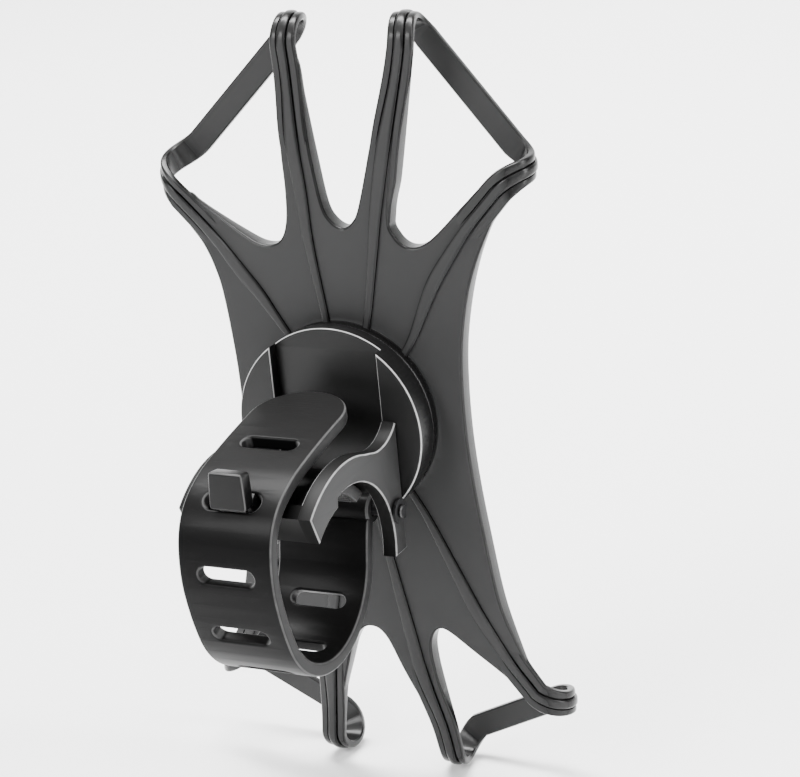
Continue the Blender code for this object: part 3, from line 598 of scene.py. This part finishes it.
# each loop: its two ribs on the web, where it crosses the edges at the back and the front, and its drift there
loops = {
    "topLeft": {
        "endRib": [(-2.6, 18.8), (-3.2, 23.6), (-4.7, 35.0), (-5.3, 45.0), (-6.3, 56.0), (-6.9, 64.0)],
        "endBack": -7.4, "endFront": -12.0, "endDrift": (-0.05, -1.15),
        "sideRib": [(-10.8, 15.2), (-14.2, 20.2), (-17.4, 24.7), (-23.6, 31.7), (-28.3, 36.2), (-31.2, 38.9)],
        "sideBack": 41.4, "sideFront": 50.5, "sideDrift": (1.4, 0.95), "sideHalf": 2.45, "side": -1, "end": 1,
    },
    "topRight": {
        "endRib": [(5.8, 17.9), (7.0, 23.2), (8.8, 33.0), (10.3, 41.4), (12.9, 53.0), (15.2, 63.5)],
        "endBack": 16.9, "endFront": 17.6, "endDrift": (0.2, 0.95),
        "sideRib": [(13.2, 13.0), (15.8, 17.2), (20.2, 26.4), (24.0, 32.5), (27.6, 37.7), (30.6, 41.2)],
        "sideBack": 44.6, "sideFront": 51.0, "sideDrift": (1.3, 1.15), "sideHalf": 2.9, "side": 1, "end": 1,
    },
    "bottomLeft": {
        "endRib": [(-3.5, -18.7), (-4.5, -23.6), (-6.8, -36.0), (-8.8, -46.0), (-10.6, -57.0), (-11.9, -65.5)],
        "endBack": -12.6, "endFront": -15.0, "endDrift": (-0.2, -1.1),
        "sideRib": [(-11.2, -15.2), (-14.6, -20.9), (-19.2, -30.0), (-24.0, -40.0), (-29.3, -50.5)],
        "sideBack": -56.8, "sideFront": -62.0, "sideDrift": (0.95, 0.55), "sideHalf": 2.65, "side": -1, "end": -1,
    },
    "bottomRight": {
        "endRib": [(4.0, -18.7), (5.0, -23.4), (7.2, -36.0), (9.2, -47.0), (11.2, -58.0), (12.9, -66.0)],
        "endBack": 13.9, "endFront": 16.0, "endDrift": (0.2, 1.1),
        "sideRib": [(12.0, -14.9), (15.2, -20.4), (19.8, -30.5), (24.4, -40.5), (29.4, -50.8)],
        "sideBack": -57.0, "sideFront": -62.8, "sideDrift": (0.95, 0.55), "sideHalf": 2.8, "side": 1, "end": -1,
    },
}
endLine = phone["height"] / 2 - phone["depth"] / 2
sideLine = phone["width"] / 2 - phone["depth"] / 2


def tipPoints():
    for loop in loops.values():
        yield Vector((loop["endBack"], loop["end"] * endLine))
        yield Vector((loop["side"] * sideLine, loop["sideBack"]))


def webThickAt(fromTip):
    # the web thins towards each arm's tip
    return blendOf(web["tipThick"], web["thick"], ease(fromTip, *web["taper"]))


def hermite(start, end, startSlope, endSlope, length, t):
    return (
        start * (1 + 2 * t) * (1 - t) ** 2
        + startSlope * length * t * (1 - t) ** 2
        + end * t * t * (3 - 2 * t)
        + endSlope * length * t * t * (t - 1)
    )


def loopLine(loop):
    # (place, outward, distance in from the edge, its arm's length, half width, sink) from one rib's root to the other's
    radius = phone["depth"] / 2 + web["bandGap"]
    halfTurn = math.pi * radius
    endWay, sideWay = (web["endHalf"], web["endSink"]), (loop["sideHalf"], web["sideSink"])
    line = []

    def alongBack(ribPoints, way):
        points = smoothLine(ribPoints, 12)
        lengths = [0.0]
        for a, b in zip(points, points[1:]):
            lengths.append(lengths[-1] + math.dist(a, b))
        return [
            (Vector((x, -radius, z)), Vector((0, -1, 0)), lengths[-1] - length, lengths[-1], *way)
            for (x, z), length in zip(points, lengths)
        ]

    def around(back, front, drift, fixed, sign, way, overEnd):
        places = []
        for step in range(1, 22):
            t = step / 22
            along = hermite(back, front, drift[0], drift[1], halfTurn, t)
            turn = math.pi * t
            if overEnd:
                out = Vector((0, -math.cos(turn), sign * math.sin(turn)))
                middle = Vector((along, 0, fixed))
            else:
                out = Vector((sign * math.sin(turn), -math.cos(turn), 0))
                middle = Vector((fixed, 0, along))
            half = blendOf(way[0], web["frontHalf"], ease(t, 0.0, 0.5))
            places.append((middle + out * radius, out, 0.0, 1.0, half, way[1]))
        return places

    line += alongBack(loop["endRib"] + [(loop["endBack"], loop["end"] * endLine)], endWay)
    endFixed = loop["end"] * endLine
    line += around(loop["endBack"], loop["endFront"], loop["endDrift"], endFixed, loop["end"], endWay, True)
    start = Vector((loop["endFront"], radius, endFixed))
    finish = Vector((loop["side"] * sideLine, radius, loop["sideFront"]))
    for step in range(25):
        line.append((start.lerp(finish, step / 24), Vector((0, 1, 0)), 0.0, 1.0, web["frontHalf"], web["sideSink"]))
    drift = [d * loop["end"] for d in loop["sideDrift"]]
    fixed = loop["side"] * sideLine
    line += around(loop["sideBack"], loop["sideFront"], drift, fixed, loop["side"], sideWay, False)[::-1]
    line += alongBack(loop["sideRib"] + [(fixed, loop["sideBack"])], sideWay)[::-1]
    return line


def bandSection(inward, length, half, sink):
    # two lands with a raised rib between them; further in, the lands sink into the web and the rib stays
    root, spread, collar = web["ribHalf"]
    plate = webThickAt(inward)
    sunk = ease(inward, *sink)
    land = plate + blendOf(web["landRise"], -0.4, sunk)
    top = plate + blendOf(web["landRise"] + 0.34, web["ribRise"], sunk)
    middle = blendOf(blendOf(root, spread, ease(inward, 4.0, 20.0)), collar, ease(inward, 20.0, max(length, 24.0)))
    half = max(half + 0.02 * inward, middle + 0.6) - 0.5 * ease(inward, sink[1], sink[1] + 6)
    groove, width = web["grooveDepth"], web["grooveWidth"]
    points = [(-half + 0.3, 0.0), (-half + 0.02, 0.3)]
    for turn in (0, 22.5, 45, 67.5, 90):
        angle = math.radians(turn)
        points.append((-half + 0.45 * (1 - math.cos(angle)), land - 0.45 * (1 - math.sin(angle))))
    points += [(blendOf(-half + 0.45, -middle - width, 0.5), land + 0.05), (-middle - width, land)]
    points += [(-middle - width * 0.45, land - groove), (-middle, land - groove * 0.8)]
    points += [(-middle + 0.06, top - 0.14), (-middle + 0.24, top), (-middle * 0.4, top + 0.07)]
    return points + [(-a, b) for a, b in points[::-1]]


def makeLoop(name, loop):
    line = loopLine(loop)
    points = []
    for i, (place, out, *rest) in enumerate(line):
        ahead = line[min(i + 1, len(line) - 1)][0] - line[max(i - 1, 0)][0]
        across = ahead.normalized().cross(out).normalized()
        section = bandSection(*rest)
        points += [centre + place + across * a + out * b for a, b in section]
    return meshFromPoints(name, points, ringFaces(len(line), len(section)), 32)


def makeWeb():
    back = centre.y - phone["depth"] / 2
    hole = [
        (web["seatRadius"] * math.cos(math.radians(a)), web["seatRadius"] * math.sin(math.radians(a)))
        for a in range(0, 360, 4)
    ]
    outlines = [
        [(x + centre.x, z + centre.z) for x, z in shape] for shape in (smoothLine(webOutline, 7, closed=True), hole)
    ]
    plate = roundedPlate("siliconeWeb", outlines, back - web["thick"], back, web["edgeRound"], segments=5)
    sliced(plate, (1, 0, 0), centre.x - 36, centre.x + 36, 2.0)
    sliced(plate, (0, 0, 1), centre.z - 72, centre.z + 72, 2.0)
    for vertex in plate.data.vertices:
        x, y, z = vertex.co / mm - centre
        share = (back - centre.y - y) / web["thick"]
        fromTip = min((Vector((x, z)) - tip).length for tip in tipPoints())
        vertex.co.y = (back - share * webThickAt(fromTip)) * mm
    # the boss: a membrane round the barrel, then a low collar that ends under the disc's rim
    profile = [
        (-7.4, web["boreRadius"]), (-8.4, web["boreRadius"]), (-8.4, 16.8), (-10.0, 16.8), (-10.0, 18.4),
        (-9.9, 18.75), (-9.6, 18.95), (-9.2, 19.0), (-8.2, 19.05), (-7.95, 19.2), (-7.87, 19.5), (-7.75, 19.9),
        (-7.2, 19.9), (-7.2, 17.5), (-7.4, 17.3),
    ]
    profile = [(depth + centre.y, radius) for depth, radius in profile]
    boss = turnedPiece("boss", profile, (centre.x, centre.z), angle=30)
    return united(plate, [boss] + [makeLoop(name, loop) for name, loop in loops.items()], angle=32)


siliconeWeb = makeWeb()
dress(siliconeWeb, blackSilicone, "cradle", ["cradle_web"])
print("web made:", len(siliconeWeb.data.polygons), "faces")


disc = {
    "radius": 19.4, "back": -10.4, "floor": -13.5, "face": -16.0, "halfChannel": 11.3, "edgeRound": 0.4,
    "floorRound": 0.3, "moonInset": 0.35,
}


def makeDisc():
    radius, half = disc["radius"], disc["halfChannel"]
    circle = [
        (centre.x + radius * math.cos(math.radians(a)), centre.z + radius * math.sin(math.radians(a)))
        for a in range(0, 360, 2)
    ]
    plate = roundedPlate("baseDisc", [circle], centre.y + disc["floor"], centre.y + disc["back"], disc["floorRound"])
    corner = math.degrees(math.acos(half / radius))
    moons = []
    for side in (-1, 1):
        shape = []
        for step in range(41):
            angle = math.radians(-corner + 2 * corner * step / 40)
            shape.append((centre.x + side * radius * math.cos(angle), centre.z + radius * math.sin(angle)))
        if side < 0:
            shape.reverse()
        low, high = centre.y + disc["face"], centre.y + disc["back"] - disc["moonInset"]
        moons.append(roundedPlate(f"moon{side}", [shape], low, high, disc["edgeRound"]))
    return united(plate, moons)


baseDisc = makeDisc()
dress(baseDisc, discPlastic, "base", ["base_disc"])


saddle = {
    "back": 22.9, "topCentre": (2.0, 0.2), "topRadius": 22.4, "archCentre": (1.6, 0.6), "archRadius": 17.0,
    "floorRadius": 18.8, "seatRadius": 15.5, "frontAngle": 41.5, "seatBack": 8.0, "endWall": 31.0,
    "floorBack": -52.0, "inside": 11.3, "outside": 14.4, "edgeRound": 0.45,
}


def flankShape():
    fillet = smoothLine([(saddle["back"], 22.7), (21.2, 21.3), (18.4, 20.15), (14.8, 19.9), (11.6, 20.75)], 6)
    top = arcPoints(saddle["topCentre"], saddle["topRadius"], -21.0, 41.0, 32)
    seat = arcPoints((0, 0), saddle["seatRadius"], saddle["frontAngle"], saddle["seatBack"], 20)
    arch = arcPoints(saddle["archCentre"], saddle["archRadius"], 12.0, -102.0, 44)
    return fillet[:-1] + top + seat + arch + [(saddle["back"], arch[-1][1])]


def tubShape():
    # the floor and the end wall, with a rounded inner corner
    off = 0.03  # keeps the tub's walls off the flanks' own, for the union
    wallTop = arcPoints(saddle["topCentre"], saddle["topRadius"] - off, saddle["endWall"] + 2.5, 40.9, 9)
    seat = arcPoints((0, 0), saddle["seatRadius"] + off, saddle["frontAngle"] - 0.1, saddle["seatBack"] + 0.2, 23)
    under = arcPoints(saddle["archCentre"], saddle["archRadius"] + off, 11.8, saddle["floorBack"], 31)
    floor = arcPoints(saddle["archCentre"], saddle["floorRadius"], saddle["floorBack"], saddle["endWall"] - 3.5, 30)
    inner = smoothLine([floor[-1], (-8.6, 17.3), (-9.6, 17.9), wallTop[0]], 5)[1:-1]
    return wallTop + seat + under + floor + inner


hook = {
    "angle": 35.7, "root": 17.6, "reach": 25.9, "halfThick": 1.5, "stemFrom": -2.7, "stemTo": 4.3, "stemRound": 0.3,
    "headLow": 19.9, "headHigh": 26.9, "halfBottom": 3.75, "halfTop": 3.4, "headX": 0.8, "corner": 0.7,
    "front": -18.1, "rear": -15.0, "headRound": 0.42, "lean": 0.3, "backDrop": 0.35,
}


def makeHook():
    angle = math.radians(hook["angle"])
    out = Vector((-math.sin(angle), math.cos(angle)))
    down = Vector((-math.cos(angle), -math.sin(angle))) * hook["halfThick"]
    root, reach = out * hook["root"], out * hook["reach"]
    neck = [tuple(p) for p in (root + down, reach + down, reach - down, root - down)]
    stem = roundedPlate("stem", [neck], hook["stemFrom"], hook["stemTo"], hook["stemRound"], plane="yz")
    low, high = hook["headLow"], hook["headHigh"]
    shape = [(-hook["halfBottom"], low), (hook["halfBottom"], low), (hook["halfTop"], high), (-hook["halfTop"], high)]
    corners = []
    for i, corner in enumerate(shape):
        before, after = Vector(shape[i - 1]), Vector(shape[(i + 1) % 4])
        here = Vector(corner)
        start = here + (before - here).normalized() * hook["corner"]
        end = here + (after - here).normalized() * hook["corner"]
        corners += [tuple(start.lerp(here, t).lerp(here.lerp(end, t), t)) for t in (0, 0.25, 0.5, 0.75, 1)]
    outline = [(x + hook["headX"], z) for x, z in corners]
    head = roundedPlate("head", [outline], hook["front"], hook["rear"], hook["headRound"], segments=5)
    for vertex in head.data.vertices:
        share = (vertex.co.z / mm - low) / (high - low)
        vertex.co.y += hook["lean"] * share * mm
        if vertex.co.y > -16.4 * mm and share > 0.8:
            vertex.co.z -= hook["backDrop"] * mm
    return [stem, head]


def makeSaddle():
    inside, outside, roundness = saddle["inside"], saddle["outside"], saddle["edgeRound"]
    right = roundedPlate("saddleShell", [flankShape()], inside, outside, roundness, plane="yz")
    left = roundedPlate("leftFlank", [flankShape()], -outside, -inside, roundness, plane="yz")
    for vertex in left.data.vertices:
        outer = ease(-vertex.co.x / mm, inside + 0.4, inside + 2.0)
        vertex.co.x += 1.4 * outer * (1 - ease(vertex.co.y / mm, 9.0, 16.5)) * mm
    tub = roundedPlate("tub", [tubShape()], -inside - 0.9, inside + 0.9, roundness, plane="yz")
    return united(right, [left, tub])


saddleShell = makeSaddle()
dress(saddleShell, saddlePlastic, "base", ["saddle"])
stem, head = makeHook()
strapHook = united(head, [stem])
strapHook.name = "strapHook"
dress(strapHook, hookPlastic, "base", ["saddle"])
print("base plate and saddle made")

strap = {
    "halfWidth": 9.6, "thick": 2.6, "edgeRound": 0.55, "slotHalfLength": 5.7, "slotHalfWidth": 1.65,
    "slotStep": 14.4, "slotPitch": 13.0, "slice": 0.7, "eyeRadius": 2.95, "eyeCorner": 0.45,
    "pinHole": 1.4, "freeEnd": 16.2, "hookSlotExtra": 0.4, "slots": 5,
}
pinLow, pinHigh = boxOf("strap_pin")
pinPlace = ((pinLow.y + pinHigh.y) / 2, (pinLow.z + pinHigh.z) / 2)


def strapLine():
    # the strap's outer side as (y, z), from under its eye, round the bar and over the hook to its free end
    around = arcPoints((0, 0), 18.1, 262, 112, 60)
    free = [
        around[-1], (-18.6, -1.6), (-20.1, 5.4), (-19.9, 12.2), (-18.2, 17.1), (-14.9, 20.6), (-9.6, 23.3),
        (-3.9, 24.9), (4.3, 26.6), (12.4, 27.9), (20.2, 28.9),
    ]
    lead = smoothLine([(19.6, 4.0), (18.7, 1.2), around[0], around[2]], 6)[:12]
    return [Vector(p) for p in lead + around[:-1] + smoothLine([around[-3], *free], 8)[8:]]


def lineReader(line):
    # (place, outward) at a length along the line
    lengths = [0.0]
    for a, b in zip(line, line[1:]):
        lengths.append(lengths[-1] + (b - a).length)

    def placeAt(at):
        at = min(max(at, 0.0), lengths[-1])
        for i in range(len(line) - 1):
            if lengths[i + 1] >= at:
                t = (at - lengths[i]) / max(lengths[i + 1] - lengths[i], 1e-9)
                return line[i].lerp(line[i + 1], t)
        return line[-1]

    def read(at):
        ahead = placeAt(at + 0.6) - placeAt(at - 0.6)
        return placeAt(at), Vector((-ahead.y, ahead.x)).normalized()

    return read, lengths


def stadium(middle, halfLength, halfWidth):
    points = []
    for side in (1, -1):
        for step in range(13):
            angle = math.radians(-90 + 15 * step) if side > 0 else math.radians(90 + 15 * step)
            points.append(
                (side * (halfLength - halfWidth) + halfWidth * math.cos(angle), middle + halfWidth * math.sin(angle))
            )
    return points


def makeStrap():
    line = strapLine()
    read, lengths = lineReader(line)
    total = lengths[-1]
    half = strap["halfWidth"]
    way = Vector((-math.sin(math.radians(hook["angle"])), math.cos(math.radians(hook["angle"]))))
    hooked = min((abs(p.normalized().cross(way)), s) for p, s in zip(line, lengths) if p.dot(way) > 0)[1]
    outline = [(-half, 0.0)]
    outline += [(-half, total * k / 40) for k in range(1, 36) if total * k / 40 < total - half]
    outline += [
        (-half * math.cos(math.radians(a)), total - half + half * math.sin(math.radians(a))) for a in range(0, 181, 6)
    ]
    outline += [(half, total * k / 40) for k in range(35, 0, -1) if total * k / 40 < total - half]
    outline.append((half, 0.0))
    places = [hooked + strap["freeEnd"], hooked]
    places += [hooked - strap["slotStep"] - strap["slotPitch"] * i for i in range(strap["slots"])]
    shapes = [outline]
    for i, at in enumerate(places):
        halfWidth = strap["slotHalfWidth"] + (strap["hookSlotExtra"] if i == 1 else 0.0)
        shapes.append(stadium(at, strap["slotHalfLength"], halfWidth))
    flat = roundedPlate("strapBand", shapes, -strap["thick"], 0.0, strap["edgeRound"], segments=4)
    sliced(flat, (0, 0, 1), strap["slice"], total - strap["slice"], strap["slice"])
    bm = bmesh.new()
    bm.from_mesh(flat.data)
    for vertex in bm.verts:
        x, depth, at = vertex.co / mm
        place, out = read(at)
        spot = place + out * depth
        vertex.co = Vector((x, spot.x, spot.y)) * mm
    faceOutwards(bm)
    bm.to_mesh(flat.data)
    bm.free()
    hole, radius, corner = strap["pinHole"], strap["eyeRadius"], strap["eyeCorner"]
    eyeProfile = [
        (-half, hole), (-half, radius - corner), (-half + corner, radius),
        (half - corner, radius), (half, radius - corner), (half, hole),
    ]
    eye = turnedPiece("eye", eyeProfile, pinPlace, along="X", steps=64)
    return united(flat, [eye], angle=40)


strapBand = makeStrap()
dress(strapBand, strapSilicone, "base", ["strap"])
print("strap made:", len(strapBand.data.polygons), "faces")


liner = {
    "inner": 15.75, "outer": 16.7, "halfWidth": 10.6, "start": 5.5, "end": -48.0,
    "ribs": 12, "ribRadius": 0.42, "ribCircle": 15.78, "ribLength": 19.4,
}


def startTree(name, inputs):
    # a Geometry Nodes tree with a geometry output and named inputs
    tree = bpy.data.node_groups.new(name, "GeometryNodeTree")
    tree.interface.new_socket("Geometry", in_out="OUTPUT", socket_type="NodeSocketGeometry")
    for label, kind in inputs:
        tree.interface.new_socket(label, in_out="INPUT", socket_type=kind)
    return tree, tree.nodes.new("NodeGroupInput"), tree.nodes.new("NodeGroupOutput")


def endTree(tree, out, geometry, finish):
    whole = addNode(tree, "GeometryNodeRealizeInstances", {0: geometry})
    dressed = addNode(tree, "GeometryNodeSetMaterial", {0: whole.outputs[0]})
    dressed.inputs["Material"].default_value = finish
    tree.links.new(dressed.outputs[0], out.inputs["Geometry"])


def grown(name, tree, values):
    # what the tree makes, as a plain mesh of its own
    obj = newObject(name, bpy.data.meshes.new(name))
    modifier = obj.modifiers.new("grow", "NODES")
    modifier.node_group = tree
    sockets = {item.name: item.identifier for item in tree.interface.items_tree if item.in_out == "INPUT"}
    for label, value in values.items():
        modifier[sockets[label]] = value
    return shadeByAngle(applied(obj), 40)


def ribTree():
    # round ribs along X, set evenly on an arc in (y, z)
    names = ["Circle", "Start", "Sweep", "Rib Radius", "Rib Length"]
    tree, inside, out = startTree("linerRibs", [(n, "NodeSocketFloat") for n in names] + [("Ribs", "NodeSocketInt")])
    read = inside.outputs
    arc = addNode(
        tree,
        "GeometryNodeCurveArc",
        {
            "Resolution": read["Ribs"], "Radius": read["Circle"],
            "Start Angle": read["Start"], "Sweep Angle": read["Sweep"],
        },
    )
    spots = addNode(tree, "GeometryNodeCurveToPoints", {0: arc.outputs[0]}, mode="EVALUATED")
    rod = addNode(
        tree,
        "GeometryNodeMeshCylinder",
        {"Vertices": 14, "Side Segments": 1, "Radius": read["Rib Radius"], "Depth": read["Rib Length"]},
    )
    placed = addNode(
        tree, "GeometryNodeInstanceOnPoints", {"Points": spots.outputs[0], "Instance": rod.outputs["Mesh"]}
    )
    turned = addNode(
        tree,
        "GeometryNodeTransform",
        {"Geometry": placed.outputs[0], "Rotation": (math.radians(90), 0, math.radians(90))},
    )
    endTree(tree, out, turned.outputs[0], softRubber)
    return tree


def makeLiner():
    inner = arcPoints((0, 0), liner["inner"], liner["start"], liner["end"], 40)
    outer = arcPoints(saddle["archCentre"], liner["outer"], liner["end"] - 2, liner["start"] + 1, 40)
    pad = roundedPlate("linerPad", [inner + outer], -liner["halfWidth"], liner["halfWidth"], 0.25, plane="yz")
    sweep = liner["end"] + 3 - (liner["start"] - 3)
    ribs = grown(
        "linerRibs",
        ribTree(),
        {
            "Circle": liner["ribCircle"] * mm, "Start": math.radians(90 + liner["start"] - 3),
            "Sweep": math.radians(sweep), "Rib Radius": liner["ribRadius"] * mm,
            "Rib Length": liner["ribLength"] * mm, "Ribs": liner["ribs"],
        },
    )
    return united(pad, [ribs])


linerPad = makeLiner()
dress(linerPad, softRubber, "base", ["bar_liner"])

pad = {
    "radius": (padHigh.x - padLow.x) / 2, "low": padLow.y, "high": padHigh.y, "sink": 0.3,
    "dotRadius": 0.55, "dotPitch": 1.9, "dotRows": 21, "dotMargin": 1.3, "rim": 1.1,
}


def dotTree():
    # low round dots in staggered rows over a disc, facing +Y
    names = ["Disc Radius", "Pitch", "Dot Radius", "Rise"]
    tree, inside, out = startTree("padDots", [(n, "NodeSocketFloat") for n in names] + [("Rows", "NodeSocketInt")])
    read = inside.outputs
    gaps = addNode(tree, "ShaderNodeMath", {0: read["Rows"], 1: 1.0}, operation="SUBTRACT")
    size = addNode(tree, "ShaderNodeMath", {0: gaps.outputs[0], 1: read["Pitch"]}, operation="MULTIPLY")
    grid = addNode(
        tree,
        "GeometryNodeMeshGrid",
        {"Size X": size.outputs[0], "Size Y": size.outputs[0], "Vertices X": read["Rows"], "Vertices Y": read["Rows"]},
    )
    # every other row moves along by half the pitch
    place = addNode(tree, "GeometryNodeInputPosition")
    parts = addNode(tree, "ShaderNodeSeparateXYZ", {0: place.outputs[0]})
    row = addNode(tree, "ShaderNodeMath", {0: parts.outputs["Y"], 1: read["Pitch"]}, operation="DIVIDE")
    whole = addNode(tree, "ShaderNodeMath", {0: row.outputs[0]}, operation="ROUND")
    odd = addNode(tree, "ShaderNodeMath", {0: whole.outputs[0], 1: 2.0}, operation="FLOORED_MODULO")
    half = addNode(tree, "ShaderNodeMath", {0: odd.outputs[0], 1: read["Pitch"]}, operation="MULTIPLY")
    step = addNode(tree, "ShaderNodeMath", {0: half.outputs[0], 1: 0.5}, operation="MULTIPLY")
    offset = addNode(tree, "ShaderNodeCombineXYZ", {"X": step.outputs[0]})
    moved = addNode(tree, "GeometryNodeSetPosition", {"Geometry": grid.outputs["Mesh"], "Offset": offset.outputs[0]})
    reach = addNode(tree, "ShaderNodeVectorMath", {0: place.outputs[0]}, operation="LENGTH")
    outside = addNode(
        tree, "FunctionNodeCompare", {0: reach.outputs["Value"], 1: read["Disc Radius"]}, operation="GREATER_THAN"
    )
    kept = addNode(
        tree, "GeometryNodeDeleteGeometry", {"Geometry": moved.outputs[0], "Selection": outside.outputs[0]}
    )
    ball = addNode(tree, "GeometryNodeMeshIcoSphere", {"Radius": read["Dot Radius"], "Subdivisions": 2})
    squash = addNode(tree, "ShaderNodeMath", {0: read["Rise"], 1: read["Dot Radius"]}, operation="DIVIDE")
    scale = addNode(tree, "ShaderNodeCombineXYZ", {"X": 1.0, "Y": 1.0, "Z": squash.outputs[0]})
    dots = addNode(
        tree,
        "GeometryNodeInstanceOnPoints",
        {"Points": kept.outputs[0], "Instance": ball.outputs["Mesh"], "Scale": scale.outputs[0]},
    )
    turned = addNode(
        tree, "GeometryNodeTransform", {"Geometry": dots.outputs[0], "Rotation": (math.radians(90), 0, 0)}
    )
    endTree(tree, out, turned.outputs[0], softRubber)
    return tree


def makePad():
    # a disc with a raised rim, and grip dots that end level with the rim
    radius, low, high, sink = pad["radius"], pad["low"], pad["high"], pad["sink"]
    profile = [
        (low, 0), (low, radius - 0.1), (low + 0.1, radius), (high - 0.2, radius), (high - 0.05, radius - 0.07),
        (high, radius - 0.2), (high, radius - pad["rim"]), (high - 0.06, radius - pad["rim"] - 0.12),
        (high - sink, radius - pad["rim"] - 0.25), (high - sink, 0),
    ]
    plate = turnedPiece("gripPad", profile, (centre.x, centre.z), angle=30)
    dots = grown(
        "gripDots",
        dotTree(),
        {
            "Disc Radius": (radius - pad["rim"] - pad["dotMargin"]) * mm, "Pitch": pad["dotPitch"] * mm,
            "Dot Radius": pad["dotRadius"] * mm, "Rise": (sink + 0.05) * mm, "Rows": pad["dotRows"],
        },
    )
    for vertex in dots.data.vertices:
        vertex.co += Vector((centre.x, high - sink - 0.05, centre.z)) * mm
    return united(plate, [dots])


gripPad = makePad()
dress(gripPad, softRubber, "cradle", ["phone_pad"])
print("liner and pad made:", len(linerPad.data.polygons), len(gripPad.data.polygons), "faces")

# small fixings keep their CAD shape
fixings = [
    (discPlastic, ["cradle_hub", "clamp_ring"]),
    (paleNylon, ["thrust_washer"]),
    (blackSteel, ["strap_pin", "pin_clip"]),
    (plainSteel, ["wave_spring", "retaining_washer", "swivel_screw"]),
    (plainSteel, [f"clamp_screw_{i}" for i in (1, 2, 3)] + [f"base_screw_{i}" for i in (1, 2, 3, 4)]),
]
for finish, names in fixings:
    for node in [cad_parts[name] for name in names]:
        if not node.material_slots:
            node.data.materials.append(finish)
        for slotOf in node.material_slots:
            slotOf.material = finish
